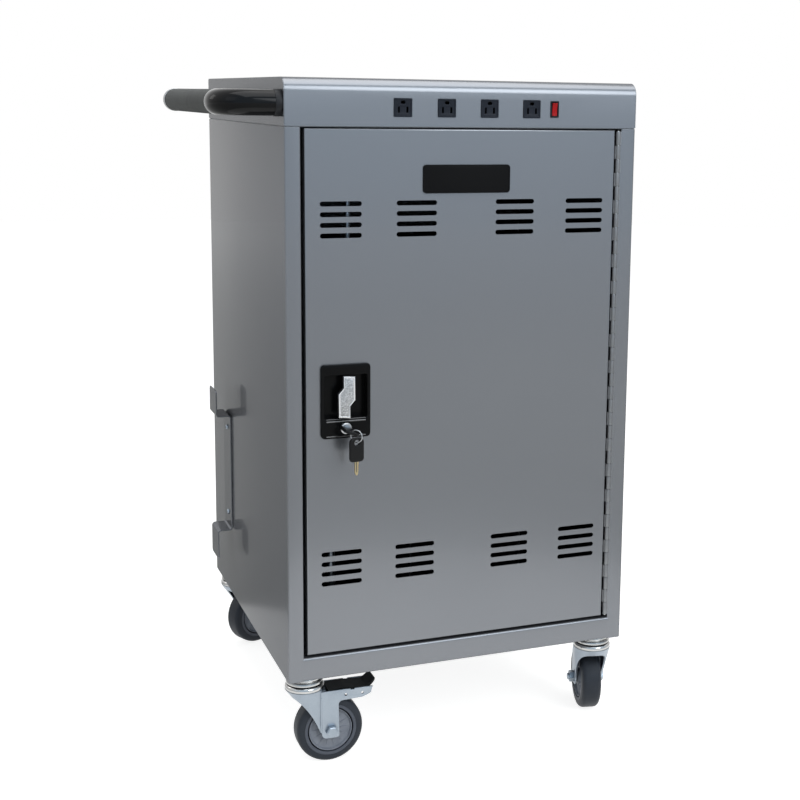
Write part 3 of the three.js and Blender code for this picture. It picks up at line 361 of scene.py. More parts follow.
def add_piece(name, shape, material, body, stands_for=(), edge=0.0, place=Matrix()):
    """Turns a drawn shape into a piece that rides on a body, with edges rounded by edge millimetres."""
    bmesh.ops.recalc_face_normals(shape, faces=shape.faces)
    shape.transform(CABINET @ place)
    mesh = bpy.data.meshes.new(name)
    shape.to_mesh(mesh)
    shape.free()
    mesh.polygons.foreach_set("use_smooth", [True] * len(mesh.polygons))
    mesh.set_sharp_from_angle(angle=SMOOTH_ANGLE)
    mesh.materials.append(material)
    piece = bpy.data.objects.new(name, mesh)
    scene.collection.objects.link(piece)
    if edge > 0:
        rounding = piece.modifiers.new("rounded_edges", "BEVEL")
        rounding.width = edge * 0.001
        rounding.segments = 2
        rounding.limit_method = "ANGLE"
        rounding.angle_limit = ROUNDED_ANGLE
        rounding.harden_normals = True
    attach(piece, body)
    if stands_for:
        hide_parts(*stands_for)


def painted_sheet(name, shape, edge, stands_for=()):
    add_piece(name, shape, body_paint, "cabinet", stands_for, edge)


def boolean(shape, tools, operation):
    """A closed shape with closed tools cut out of it, or kept only inside them."""

    def stand_in(drawn):
        bmesh.ops.recalc_face_normals(drawn, faces=drawn.faces)
        mesh = bpy.data.meshes.new("stand_in")
        drawn.to_mesh(mesh)
        drawn.free()
        thing = bpy.data.objects.new("stand_in", mesh)
        scene.collection.objects.link(thing)
        return thing

    blank = stand_in(shape)
    cutters = [stand_in(tool) for tool in tools]
    for cutter in cutters:
        step = blank.modifiers.new("step", "BOOLEAN")
        step.operation = operation
        step.object = cutter
        step.solver = "EXACT"
    graph = bpy.context.evaluated_depsgraph_get()
    result = bmesh.new()
    result.from_mesh(blank.evaluated_get(graph).to_mesh())
    for thing in (blank, *cutters):
        mesh = thing.data
        bpy.data.objects.remove(thing)
        bpy.data.meshes.remove(mesh)
    bmesh.ops.dissolve_limit(
        result, angle_limit=math.radians(0.5), verts=result.verts, edges=result.edges,
    )
    return result


def carve(shape, *tools):
    return boolean(shape, tools, "DIFFERENCE")


def block(x0, x1, y0, y1, z0, z1):
    return prism(rectangle(x0, x1, y0, y1), "z", z0, z1)


SHEET = 1.2
panel_high = in_cabinet("left_side_panel")[1]
WIDTH = in_cabinet("right_side_panel")[1].x
DEPTH = panel_high.y
PANEL_TOP = panel_high.z
STILE = panel_high.x
STILE_RETURN = 18.0
FOLD_RADIUS = 2.2
half = SHEET / 2
panel_path = [
    (STILE - half, STILE_RETURN), (STILE - half, half), (half, half),
    (half, DEPTH - half), (STILE - half, DEPTH - half), (STILE - half, DEPTH - STILE_RETURN),
]
LEDGE_DEPTH = 20.0
LEDGE_END = 24.0
inlet_low, inlet_high = in_cabinet("power_inlet")


def panel_shape(mirrored):
    path = [(WIDTH - x, y) for x, y in panel_path] if mirrored else panel_path
    return prism(bent_strip(path, SHEET, FOLD_RADIUS), "z", 0.0, PANEL_TOP)


def ledge_shape(mirrored):
    x0, x1 = (WIDTH - LEDGE_DEPTH, WIDTH - SHEET) if mirrored else (SHEET, LEDGE_DEPTH)
    return block(x0, x1, LEDGE_END, DEPTH - LEDGE_END, PANEL_TOP - SHEET, PANEL_TOP)


INLET_END_BORDER = 7.0
INLET_SIDE_BORDER = 2.5
PUNCH_REACH = 9
inlet_hole = block(
    WIDTH - PUNCH_REACH, WIDTH + PUNCH_REACH,
    inlet_low.y + INLET_END_BORDER, inlet_high.y - INLET_END_BORDER,
    inlet_low.z + INLET_SIDE_BORDER, inlet_high.z - INLET_SIDE_BORDER,
)
panels = {"left": panel_shape(False), "right": carve(panel_shape(True), inlet_hole)}
for side, panel in panels.items():
    painted_sheet(f"{side}_side", panel, 0.35, [f"{side}_side_panel"])
    painted_sheet(f"{side}_ledge", ledge_shape(side == "right"), 0.3)

# Bottom pan: a thicker sheet folded into the floor, the front and rear rails, and the flanges
# that the casters are bolted through. It shows as the broad rail under the front door, and its
# ends are welded over the rounded folds of the stiles and ground flush.
BASE_SHEET = 2.0
BASE_FOLD = 2.6
CASTER_FLANGE = 72.0
GAP = 0.3
rail_top = in_cabinet("bottom_pan")[1].z
base_half = BASE_SHEET / 2
pan_path = [
    (CASTER_FLANGE, base_half), (base_half, base_half), (base_half, rail_top - base_half),
    (DEPTH - base_half, rail_top - base_half), (DEPTH - base_half, base_half),
    (DEPTH - CASTER_FLANGE, base_half),
]
WELD = 3.0
pan_section = bent_strip(pan_path, BASE_SHEET, BASE_FOLD)
pan_shape = prism(pan_section, "x", STILE - WELD, WIDTH - STILE + WELD)


def arc(x, y, radius, start, sweep, steps):
    angles = [math.radians(start + sweep * k / steps) for k in range(steps + 1)]
    return [(x + radius * math.cos(a), y + radius * math.sin(a)) for a in angles]


def circle(x, y, radius, steps=24):
    return arc(x, y, radius, 0, 360 - 360 / steps, steps - 1)


KEEPER_RADIUS = 5.0
rod_spot = middle("lower_lock_rod")
keeper = circle(rod_spot.x, rod_spot.y, KEEPER_RADIUS)
pan_shape = carve(pan_shape, prism(keeper, "z", rail_top - PUNCH_REACH, rail_top + PUNCH_REACH))
painted_sheet("base_pan", pan_shape, 0.5, ["bottom_pan"])
WING_END = STILE_RETURN + 0.6
WINGS = {"left": (SHEET + GAP, STILE + GAP), "right": (WIDTH - STILE - GAP, WIDTH - SHEET - GAP)}
for side, (x0, x1) in WINGS.items():
    wing = block(x0, x1, WING_END, DEPTH - WING_END, rail_top - BASE_SHEET, rail_top)
    painted_sheet(f"floor_wing_{side}", wing, 0.4)
CASTERS = ("front_left", "front_right", "rear_left", "rear_right")
PAD_END = 4.0
PAD_LIFT = 0.2
for name in CASTERS:
    x0, x1 = (SHEET + GAP, STILE) if name.endswith("left") else (WIDTH - STILE, WIDTH - SHEET - GAP)
    y0, y1 = PAD_END, CASTER_FLANGE
    if name.startswith("rear"):
        y0, y1 = DEPTH - CASTER_FLANGE, DEPTH - PAD_END
    pad = block(x0, x1, y0, y1, PAD_LIFT, PAD_LIFT + BASE_SHEET)
    painted_sheet(f"{name}_corner_pad", pad, 0.4)

# Top cap: a hood of one sheet with a large rolled front edge, closed at its ends by welded
# plates that follow the roll. It carries the sockets and the switch along its front.
CAP_EDGE = 18.0
CAP_BACK_EDGE = 4.0
cap_low, cap_high = in_cabinet("top_cap")
cap_path = [
    (half, cap_low.z), (half, cap_high.z - half),
    (DEPTH - half, cap_high.z - half), (DEPTH - half, cap_low.z),
]
cap_section = bent_strip(cap_path, SHEET, [CAP_EDGE - half, CAP_BACK_EDGE - half], steps=14)
cap_shape = prism(cap_section, "x", SHEET, WIDTH - SHEET)


def face_of(low, high, inset=0.0):
    """Left, right, lower and upper side of a front face, drawn in by inset."""
    return low.x + inset, high.x - inset, low.z + inset, high.z - inset


def slab(sides, y0, y1):
    x0, x1, z0, z1 = sides
    return block(x0, x1, y0, y1, z0, z1)


OUTLETS = [f"front_outlet_{i}" for i in (1, 2, 3, 4)]
OUTLET_MARGIN = 2.0
BEZEL_MARGIN = 1.0
cap_holes = [slab(face_of(*in_cabinet(node), OUTLET_MARGIN), -PUNCH_REACH, PUNCH_REACH) for node in OUTLETS]
cap_holes.append(slab(face_of(*in_cabinet("switch_bezel"), BEZEL_MARGIN), -PUNCH_REACH, PUNCH_REACH))
painted_sheet("cap_hood", carve(cap_shape, *cap_holes), 0.3, ["top_cap"])
end_outline = [(0.0, cap_low.z), (DEPTH, cap_low.z)]
for y, radius, start in ((DEPTH - CAP_BACK_EDGE, CAP_BACK_EDGE, 0), (CAP_EDGE, CAP_EDGE, 90)):
    end_outline += arc(y, cap_high.z - radius, radius, start, 90, 14)
for side, x in (("left", 0.0), ("right", WIDTH - SHEET)):
    painted_sheet(f"cap_{side}_end", prism(end_outline, "x", x, x + SHEET), 0.5)

# Inside of the cabinet: folded panels with the same coat, and two racks of moulded dividers
# that hold the devices on edge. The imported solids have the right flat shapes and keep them.
inner_paint = finish(
    "inner_paint", ((0.20, 0.21, 0.225), (0.18, 0.19, 0.205)), (0.40, 0.48), metallic=0.45, drift=4.0,
    grain=(700.0, 0.00003), flake=(2600.0, 0.4),
)
divider_plastic = finish(
    "divider_plastic", ((0.026, 0.028, 0.031), (0.020, 0.022, 0.025)), (0.50, 0.62), drift=14.0,
    grain=(1500.0, 0.00006),
)
black_plastic = finish(
    "black_plastic", ((0.0075, 0.0086, 0.0115), (0.0055, 0.0062, 0.0085)), (0.34, 0.44), drift=22.0,
    grain=(1800.0, 0.00003), specular=0.2,
)


def refinish(node, material):
    slots = frame["nodes"][node].data.materials
    slots.clear()
    slots.append(material)


STIFFENER_Y = 46.0
STIFFENER_DROP = 12.0
SEAL_DROP = 8.0
SEAL_END = 1.6
SEAL_GAP = 0.05
ceiling_low = in_cabinet("ceiling_panel")[0].z
stiffener = block(
    SHEET + GAP, WIDTH - SHEET - GAP, STIFFENER_Y, STIFFENER_Y + SHEET,
    ceiling_low - STIFFENER_DROP, ceiling_low,
)
add_piece("ceiling_stiffener", stiffener, inner_paint, "cabinet", (), 0.3)
for side, x0 in (("left", SHEET + SEAL_GAP), ("right", WIDTH - 2 * SHEET - SEAL_GAP)):
    seal = block(x0, x0 + SHEET, SEAL_END, DEPTH - SEAL_END, PANEL_TOP - SEAL_DROP, ceiling_low)
    add_piece(f"ceiling_seal_{side}", seal, inner_paint, "cabinet", (), 0.3)
for node in ("ceiling_panel", "partition_panel", "mid_shelf"):
    refinish(node, inner_paint)
for level in ("lower", "upper"):
    refinish(f"{level}_divider_rack", divider_plastic)
    refinish(f"{level}_power_strip", black_plastic)


# Sockets on the cap: black moulded faces snapped into punched holes, with two blade slots and a
# rounded earth hole above them, and a thin raised border round each face.
def rounded(x0, x1, y0, y1, radius, steps=6):
    outline = []
    corners = rectangle(x0 + radius, x1 - radius, y0 + radius, y1 - radius)
    for (x, y), start in zip(corners[1:] + corners[:1], (-90, 0, 90, 180)):
        outline += arc(x, y, radius, start, 90, steps)
    return outline


def punched(outline, holes, low, high, edge=0.0, edge_steps=2):
    """A flat blank drawn in (x, z), with holes, from y = low to y = high, its edges rounded."""
    curve = bpy.data.curves.new("blank", "CURVE")
    curve.dimensions = "2D"
    curve.fill_mode = "BOTH"
    curve.extrude = (high - low) / 2 - edge
    curve.bevel_depth = edge
    curve.bevel_resolution = edge_steps
    curve.offset = -edge
    for loop in (outline, *[hole[::-1] for hole in holes]):
        spline = curve.splines.new("POLY")
        spline.points.add(len(loop) - 1)
        for point, (x, z) in zip(spline.points, loop):
            point.co = (x, z, 0.0, 1.0)
        spline.use_cyclic_u = True
    blank = bpy.data.objects.new("blank", curve)
    scene.collection.objects.link(blank)
    graph = bpy.context.evaluated_depsgraph_get()
    shape = bmesh.new()
    shape.from_mesh(blank.evaluated_get(graph).to_mesh())
    bpy.data.objects.remove(blank)
    bpy.data.curves.remove(curve)
    bmesh.ops.remove_doubles(shape, verts=shape.verts, dist=0.001)
    stand = Matrix(((1, 0, 0, 0), (0, 0, -1, (low + high) / 2), (0, 1, 0, 0), (0, 0, 0, 1)))
    shape.transform(stand)
    return shape


def joined(*shapes):
    """Several drawn shapes as one."""
    whole = bmesh.new()
    for shape in shapes:
        mesh = bpy.data.meshes.new("join")
        shape.to_mesh(mesh)
        shape.free()
        whole.from_mesh(mesh)
        bpy.data.meshes.remove(mesh)
    return whole


BLADE_PITCH = 12.7
BLADE_WIDTH = 2.8
BLADE_HEIGHT = 8.4
BLADE_DROP = 3.0
EARTH_RISE = 7.2
EARTH_RADIUS = 3.4
SOCKET_CORNER = 1.5
SOCKET_BORDER = 2.2
WELL_INSET = 2.6
WELL_HOLE_INSET = 3.6
WELL_BACK = 1.0
socket_face = finish(
    "socket_face", ((0.011, 0.015, 0.024), (0.008, 0.011, 0.019)), (0.34, 0.44), drift=30.0,
    grain=(1800.0, 0.00003), specular=0.18,
)
for node in OUTLETS:
    low, high = in_cabinet(node)
    x, _, z = middle(node)
    openings = []
    for blade_x in (x - BLADE_PITCH / 2, x + BLADE_PITCH / 2):
        openings.append(rounded(
            blade_x - BLADE_WIDTH / 2, blade_x + BLADE_WIDTH / 2,
            z - BLADE_DROP - BLADE_HEIGHT / 2, z - BLADE_DROP + BLADE_HEIGHT / 2, 0.3, 2,
        ))
    openings.append(arc(x, z + EARTH_RISE, EARTH_RADIUS, -35, 250, 14))
    outline = rounded(*face_of(low, high), SOCKET_CORNER)
    face = punched(outline, openings, low.y + 0.5, -GAP, 0.25)
    window = rounded(*face_of(low, high, SOCKET_BORDER), 0.8)
    border = punched(outline, [window], low.y, low.y + 0.6, 0.2)
    well_outside = rounded(*face_of(low, high, WELL_INSET), 0.5)
    well_inside = rounded(*face_of(low, high, WELL_HOLE_INSET), 0.5)
    well = joined(
        punched(well_outside, [well_inside], -GAP, high.y - WELL_BACK),
        slab(face_of(low, high, WELL_INSET), high.y - WELL_BACK, high.y),
    )
    name = node.replace("front_outlet", "socket")
    add_piece(name, joined(face, border), socket_face, "cabinet", [node])
    add_piece(f"{name}_well", well, black_plastic, "cabinet")

# Power switch: a black bezel with a deep well, and a red translucent rocker that tips on a cross
# pin. Its face is a shallow valley, as on any snap-in rocker.
red_plastic = finish(
    "red_plastic", ((0.46, 0.008, 0.010), (0.36, 0.006, 0.008)), (0.21, 0.27), drift=120.0,
    grain=(2500.0, 0.00001), specular=0.2,
)
bezel_low, bezel_high = in_cabinet("switch_bezel")
BEZEL_BORDER = 2.0
BEZEL_INSET = 1.3
BEZEL_BACK = 12.0
bezel_hole = rounded(*face_of(bezel_low, bezel_high, BEZEL_BORDER), 0.4)
bezel_body = face_of(bezel_low, bezel_high, BEZEL_INSET)
bezel = joined(
    punched(rounded(*face_of(bezel_low, bezel_high), 1.2), [bezel_hole], bezel_low.y, -GAP, 0.4),
    punched(rounded(*bezel_body, 0.4), [bezel_hole], -GAP, BEZEL_BACK),
    slab(bezel_body, BEZEL_BACK, bezel_high.y),
)
add_piece("switch_frame", bezel, black_plastic, "cabinet", ["switch_bezel"])
ROCKER_TILT = 0.12
ROCKER_SIDE_GAP = 2.6
ROCKER_END_GAP = 2.8
VALLEY_STEPS = 8
rocker_spot = middle("switch_bezel")
rocker_half = (bezel_high.x - bezel_low.x) / 2 - ROCKER_SIDE_GAP
rocker_reach = (bezel_high.z - bezel_low.z) / 2 - ROCKER_END_GAP
valley = [
    (-1.2 - (k / VALLEY_STEPS) ** 2, rocker_reach * k / VALLEY_STEPS)
    for k in range(VALLEY_STEPS, -VALLEY_STEPS - 1, -1)
]
rocker_back = [
    (-1.0, -rocker_reach), (4.0, -rocker_reach + 1.5), (4.0, rocker_reach - 1.5), (-1.0, rocker_reach),
]
rocker_shape = prism(valley + rocker_back, "x", -rocker_half, rocker_half)


def at(x, y, z):
    return Matrix.Translation((x, y, z))


rocker_place = at(rocker_spot.x, 0, rocker_spot.z) @ Matrix.Rotation(ROCKER_TILT, 4, "X")
add_piece("rocker_cap", rocker_shape, red_plastic, "rocker", ["switch_rocker"], 0.35,
          rocker_place)

# Mains inlet low on the right side: a moulded flange round a six-sided well with three flat pins,
# snapped into the punched panel from outside.
steel_bright = finish(
    "steel_bright", ((0.56, 0.57, 0.58), (0.48, 0.49, 0.50)), (0.28, 0.36), metallic=1.0, drift=60.0,
    grain=(1800.0, 0.00001),
)
_, inlet_y, inlet_z = middle("power_inlet")
TO_RIGHT = Matrix(((0, -1, 0, WIDTH), (1, 0, 0, inlet_y), (0, 0, 1, inlet_z), (0, 0, 0, 1)))
well_outline = [
    (-12.5, -8.5), (12.5, -8.5), (12.5, 4.0), (8.0, 8.5), (-8.0, 8.5), (-12.5, 4.0),
]
INLET_FLANGE = (-25, 25, -15, 15)
INLET_CASE = (-17, 17, -12, 12)
INLET_WELL = 14.0
INLET_DEPTH = 26.0
flange = punched(rounded(*INLET_FLANGE, 4), [well_outline], -3.0, -GAP, 0.5)
well_walls = punched(rectangle(*INLET_CASE), [well_outline], -GAP, INLET_WELL)
well_back = slab(INLET_CASE, INLET_WELL, INLET_DEPTH)
add_piece("inlet_body", joined(flange, well_walls, well_back), black_plastic, "cabinet",
          ["power_inlet"], place=TO_RIGHT)
for k, (across, up) in enumerate(((-7, -2.5), (0, 2.5), (7, -2.5))):
    pin = block(across - 1, across + 1, 2.0, INLET_WELL + 0.5, up - 2, up + 2)
    add_piece(f"inlet_pin_{k + 1}", pin, steel_bright, "cabinet", (), 0.4, TO_RIGHT)


# Push handle: two gloss black moulded elbows with a matt foot ring, a steel tube between them and
# a grey closed-cell foam sleeve, with a bright ring at each elbow's mouth.
def turned(profile, segments=40):
    """Spins (radius, height) points about the vertical axis. Points on the axis close the ends."""
    shape = bmesh.new()
    rings = []
    for radius, height in profile:
        ring = circle(0, 0, radius, segments) if radius > 0 else [(0, 0)]
        rings.append([shape.verts.new((x, y, height)) for x, y in ring])
    for below, above in zip(rings, rings[1:]):
        for k in range(segments):
            j = (k + 1) % segments
            corners = [ring[i % len(ring)] for ring, i in ((below, k), (below, j), (above, j), (above, k))]
            distinct = list(dict.fromkeys(corners))
            if len(distinct) > 2:
                shape.faces.new(distinct)
    return shape


def ring_profile(inner, outer, low, high, edge):
    """A hollow sleeve with rounded outer edges, as a closed profile."""
    bottom = arc(outer - edge, low + edge, edge, -90, 90, 4)
    top = arc(outer - edge, high - edge, edge, 0, 90, 4)
    return [(inner, low), *bottom, *top, (inner, high), (inner, low)]


def rod_profile(radius, low, high, edge):
    return ring_profile(0, radius, low, high, edge)[:-1]


TO_BACK = Matrix.Rotation(math.radians(-90), 4, "X")
TO_LEFT = Matrix.Rotation(math.radians(-90), 4, "Y")
gloss_black = finish(
    "gloss_black", ((0.0045, 0.0047, 0.0055), (0.0035, 0.0037, 0.0043)), (0.10, 0.15), drift=30.0,
    grain=(1200.0, 0.00001), coat=0.1, coat_rough=0.04, specular=0.12,
)
foot_black = finish(
    "foot_black", ((0.014, 0.015, 0.018), (0.011, 0.012, 0.014)), (0.45, 0.55), drift=30.0,
    grain=(1600.0, 0.00005), specular=0.25,
)
grip_foam = finish(
    "grip_foam", ((0.125, 0.129, 0.126), (0.100, 0.104, 0.102)), (0.85, 0.95), drift=55.0,
    grain=(1300.0, 0.00025), specular=0.25,
)
end_rubber = finish(
    "end_rubber", ((0.024, 0.024, 0.023), (0.018, 0.018, 0.018)), (0.6, 0.7), drift=40.0,
    grain=(1400.0, 0.00006), specular=0.2,
)
grip_x, _, handle_z = middle("handle_grip")
tube_low, tube_high = in_cabinet("handle_tube")
ELBOW_RADIUS = 18.0
ELBOW_BEND = 38.0
ELBOW_SIDES = 32
BEND_STEPS = 16
FOOT_LENGTH = 10.0
FOOT_RADIUS = 18.8
BORE = 12.8
MOUTH_RING = 1.6


def add_sleeve(name, start, length, radii, edge, material, stands_for=(), segments=40):
    """A sleeve on the grip's axis, between two radii, from its front end backwards."""
    sleeve = turned(ring_profile(*radii, 0.0, length, edge), segments)
    place = at(grip_x, start, handle_z) @ TO_BACK
    add_piece(name, sleeve, material, "cabinet", stands_for, 0, place)


elbow_mouths = {}
for node, side in (("handle_front_elbow", 1), ("handle_rear_elbow", -1)):
    low, high = in_cabinet(node)
    arm_y = low.y + FOOT_RADIUS if side > 0 else high.y - FOOT_RADIUS
    mouth = high.y if side > 0 else low.y
    elbow_mouths[side] = mouth
    route = [(-FOOT_LENGTH + 1.0, arm_y, 1.0, 0.0), (grip_x + ELBOW_BEND, arm_y, 1.0, 0.0)]
    for k in range(1, BEND_STEPS + 1):
        a = math.pi / 2 * k / BEND_STEPS
        x = grip_x + ELBOW_BEND - ELBOW_BEND * math.sin(a)
        y = arm_y + side * ELBOW_BEND * (1 - math.cos(a))
        route.append((x, y, math.cos(a), -side * math.sin(a)))
    route.append((grip_x, mouth, 0.0, -side))
    shape = bmesh.new()
    rings = []
    for x, y, along_x, along_y in route:
        rings.append([
            shape.verts.new((x - along_y * out, y + along_x * out, handle_z + up))
            for out, up in circle(0, 0, ELBOW_RADIUS, ELBOW_SIDES)
        ])
    bridge(shape, rings)
    shape.faces.new(rings[0])
    shape.faces.new(rings[-1])
    label = "front" if side > 0 else "rear"
    add_piece(f"{label}_elbow", shape, gloss_black, "cabinet", [node], 0.6)
    foot = turned(ring_profile(6.0, FOOT_RADIUS, GAP, FOOT_LENGTH, 0.8))
    foot_place = at(0, arm_y, handle_z) @ TO_LEFT
    add_piece(f"{label}_elbow_foot", foot, foot_black, "cabinet", place=foot_place)
    ring_start = mouth if side > 0 else mouth - MOUTH_RING
    add_sleeve(f"{label}_mouth_ring", ring_start, MOUTH_RING, (BORE, ELBOW_RADIUS), 0.5,
               steel_bright)

SLEEVE_GAP = 1.8
COLLAR = 5.0
COLLAR_GAP = 0.1
sleeve_start = elbow_mouths[1] + SLEEVE_GAP
sleeve_end = elbow_mouths[-1] - SLEEVE_GAP
for label, start in (("front", sleeve_start), ("rear", sleeve_end - COLLAR)):
    add_sleeve(f"{label}_grip_collar", start, COLLAR, (BORE, 17.6), 1.0, end_rubber)
foam_start = sleeve_start + COLLAR + COLLAR_GAP
foam_length = sleeve_end - sleeve_start - 2 * (COLLAR + COLLAR_GAP)
add_sleeve("grip_sleeve", foam_start, foam_length, (BORE, 17.4), 1.2, grip_foam,
           ["handle_grip"], 56)
add_sleeve("grip_tube", tube_low.y, tube_high.y - tube_low.y, (11.0, 12.5), 0.4, steel_bright,
           ["handle_tube"])

# Cord hooks: one strip of sheet steel folded into an upper and a lower hook, painted with the
# cabinet and held to the left side by two cross-head screws. The lips have cropped corners.
HOOK_SHEET = 2.4
HOOK_FOLD = 4.5
HOOK_SHELVES = (117.0, 315.0)
hook_low, hook_high = in_cabinet("cord_hook_bracket")
hook_back = -GAP - HOOK_SHEET / 2
hook_lip = hook_low.x + HOOK_SHEET / 2
hook_path = [
    (hook_lip, hook_low.z), (hook_lip, HOOK_SHELVES[0]), (hook_back, HOOK_SHELVES[0]),
    (hook_back, HOOK_SHELVES[1]), (hook_lip, HOOK_SHELVES[1]), (hook_lip, hook_high.z),
]
hook_section = bent_strip(hook_path, HOOK_SHEET, HOOK_FOLD, steps=8)
hook_shape = prism(hook_section, "y", hook_low.y, hook_high.y)
CROP = 7.0
OVERCUT = 4
crops = []
for y, inward in ((hook_low.y, 1), (hook_high.y, -1)):
    for z, down in ((hook_low.z, 1), (hook_high.z, -1)):
        outer_y, outer_z = y - inward * OVERCUT, z - down * OVERCUT
        triangle = [(outer_y, outer_z), (y + inward * CROP, outer_z), (outer_y, z + down * CROP)]
        triangle = triangle if inward * down > 0 else triangle[::-1]
        crops.append(prism(triangle, "x", hook_low.x - OVERCUT, hook_low.x + 2 * OVERCUT))
painted_sheet("hook_strip", carve(hook_shape, *crops), 0.4, ["cord_hook_bracket"])


def cross_recess(size, floor_z):
    slim = size / 3.4
    return [block(-x, x, -y, y, floor_z, PUNCH_REACH) for x, y in ((size, slim), (slim, size))]


zinc_plate = finish(
    "zinc_plate", ((0.36, 0.405, 0.455), (0.27, 0.31, 0.355)), (0.28, 0.40), metallic=1.0, drift=26.0,
    grain=(900.0, 0.00003), flake=(900.0, 0.12),
)
SCREW_SHANK = [(0, -8), (2.0, -8), (2.0, 0)]
SCREW_DOME = [(4.4, 0), (4.4, 0.7), (3.9, 1.7), (2.8, 2.5), (1.4, 2.9), (0, 3.0)]
screw_base = -GAP - HOOK_SHEET - 0.1
for node in ("lower_hook_screw", "upper_hook_screw"):
    _, y, z = middle(node)
    head = carve(turned(SCREW_SHANK + SCREW_DOME, 28), *cross_recess(2.4, 1.2))
    add_piece(node.replace("_hook", "_cross_head"), head, zinc_plate, "cabinet", [node],
              place=at(screw_base, y, z) @ TO_LEFT)

# Front door: a pan of sheet steel with rolled edges and folded returns, punched with eight groups
# of round-ended vent slots, and with two welded guides for the lock rods behind it.
DOOR_EDGE = 2.0
VENT_LENGTH = 61.0
VENT_HEIGHT = 7.0
VENT_PITCH = 14.9
VENT_ROWS = 4
VENT_MIDDLE = 268.8
VENT_OFFSETS = (-188.4, -76.0, 76.0, 188.4)
VENT_LEVELS = (168.2, 677.4)


def vent_slots(offsets):
    slots = []
    radius = VENT_HEIGHT / 2
    reach = (VENT_LENGTH - VENT_HEIGHT) / 2
    for level in VENT_LEVELS:
        for offset in offsets:
            for row in range(VENT_ROWS):
                x = VENT_MIDDLE + offset
                z = level + (row - (VENT_ROWS - 1) / 2) * VENT_PITCH
                right_end = arc(x + reach, z, radius, -90, 180, 10)
                slots.append(right_end + arc(x - reach, z, radius, 90, 180, 10))
    return slots


def folded_rim(x0, x1, z0, z1, face_y, back_y):
    """The rolled edge and return of a pan, from its flat face round to the inside of the sheet."""
    inward = 1.0 if back_y > face_y else -1.0
    loops = []
    for degrees in range(0, 91, 15):
        a = math.radians(degrees)
        loops.append((DOOR_EDGE * (1 - math.sin(a)), face_y + inward * DOOR_EDGE * (1 - math.cos(a))))
    loops += [(0.0, back_y), (SHEET, back_y), (SHEET, face_y + inward * SHEET)]
    shape = bmesh.new()
    rings = []
    for inset, y in loops:
        corners = rectangle(x0 + inset, x1 - inset, z0 + inset, z1 - inset)
        rings.append([shape.verts.new((x, y, z)) for x, z in corners])
    bridge(shape, rings)
    return shape


door_low, door_high = in_cabinet("front_door")
DOOR_THICK = 20.0
lock_x = middle("lock_escutcheon").x
lever_z = middle("lock_lever").z
key_z = middle("lock_cylinder").z
TUB_HALF = 33.2
RECESS_HALF = 31.8
PLUG_RADIUS = 8.0


def lock_square(reach, radius):
    """A square with rounded corners about the lever's axis."""
    return rounded(lock_x - reach, lock_x + reach, lever_z - reach, lever_z + reach, radius)


lock_openings = [lock_square(TUB_HALF + GAP, 4), circle(lock_x, key_z, PLUG_RADIUS + 0.9)]
door_face = punched(
    rectangle(*face_of(door_low, door_high, DOOR_EDGE)),
    [*vent_slots(VENT_OFFSETS), *lock_openings], 0.0, SHEET,
)
door_rim = folded_rim(*face_of(door_low, door_high), 0.0, DOOR_THICK)
add_piece("door_pan", joined(door_face, door_rim), body_paint, "front_door", ["front_door"])
ROD_OFFSET = 13.5
ROD_Y = 34.0
ROD_RADIUS = 4.0
GUIDES = (("lower", lock_x - ROD_OFFSET, 96.0), ("upper", lock_x + ROD_OFFSET, 744.0))
for label, x, z in GUIDES:
    eye = punched(rounded(-9, 9, SHEET, ROD_Y + 8, 3), [circle(0, ROD_Y, ROD_RADIUS + 0.4)], -2.0, 2.0, 0.3)
    eye_place = Matrix(((1, 0, 0, x), (0, 0, 1, 0), (0, -1, 0, z), (0, 0, 0, 1)))
    add_piece(f"{label}_rod_guide", eye, body_paint, "front_door", place=eye_place)

# Badge: a plain black plate with rounded corners and a fine raised border, moulded in plastic
# and stuck on the face of the door.
badge_black = finish(
    "badge_black", ((0.0055, 0.0055, 0.006), (0.0045, 0.0045, 0.005)), (0.36, 0.44), drift=40.0,
    grain=(1500.0, 0.00002), specular=0.08,
)
badge_low, badge_high = in_cabinet("badge_plate")
BADGE_RIM = 1.4
badge_outline = rounded(*face_of(badge_low, badge_high), 5)
badge_field = rounded(*face_of(badge_low, badge_high, BADGE_RIM), 4)
badge = joined(
    punched(badge_outline, [], badge_low.y + 0.5, badge_high.y, 0.3),
    punched(badge_outline, [badge_field], badge_low.y, badge_low.y + 0.6, 0.25),
)
add_piece("badge_blank", badge, badge_black, "front_door", ["badge_plate"])

# Continuous hinge: two leaves rolled into alternate knuckles round one long pin, welded to the door
# edge and to the right stile, and painted over with the cabinet.
hinge_paint = finish(
    "hinge_paint", ((0.245, 0.252, 0.262), (0.205, 0.212, 0.222)), (0.34, 0.44), metallic=0.65,
    drift=70.0, grain=(900.0, 0.00003), flake=(2600.0, 0.4),
)
KNUCKLES = 37
KNUCKLE_RADIUS = 3.4
HINGE_X = 511.25
HINGE_Y = -0.5
LEAF = 1.0
LEAF_FRONT = 4.5
door_leaf_low, door_leaf_high = in_cabinet("front_hinge_door_leaf")
frame_leaf_low, frame_leaf_high = in_cabinet("front_hinge_frame_leaf")
hinge_bottom = min(frame_leaf_low.z, door_leaf_low.z)
hinge_top = max(frame_leaf_high.z, door_leaf_high.z)
knuckle_pitch = (hinge_top - hinge_bottom) / KNUCKLES
KNUCKLE_GAP = 0.35
STRAP_START = 2.6
LEAVES = (
    ("hinge_door_leaf", "front_door", 1, door_leaf_low.x, door_leaf_low.x + LEAF),
    ("hinge_frame_leaf", "cabinet", 0, frame_leaf_high.x - LEAF, frame_leaf_high.x),
)
hinge_place = at(HINGE_X, HINGE_Y, 0)
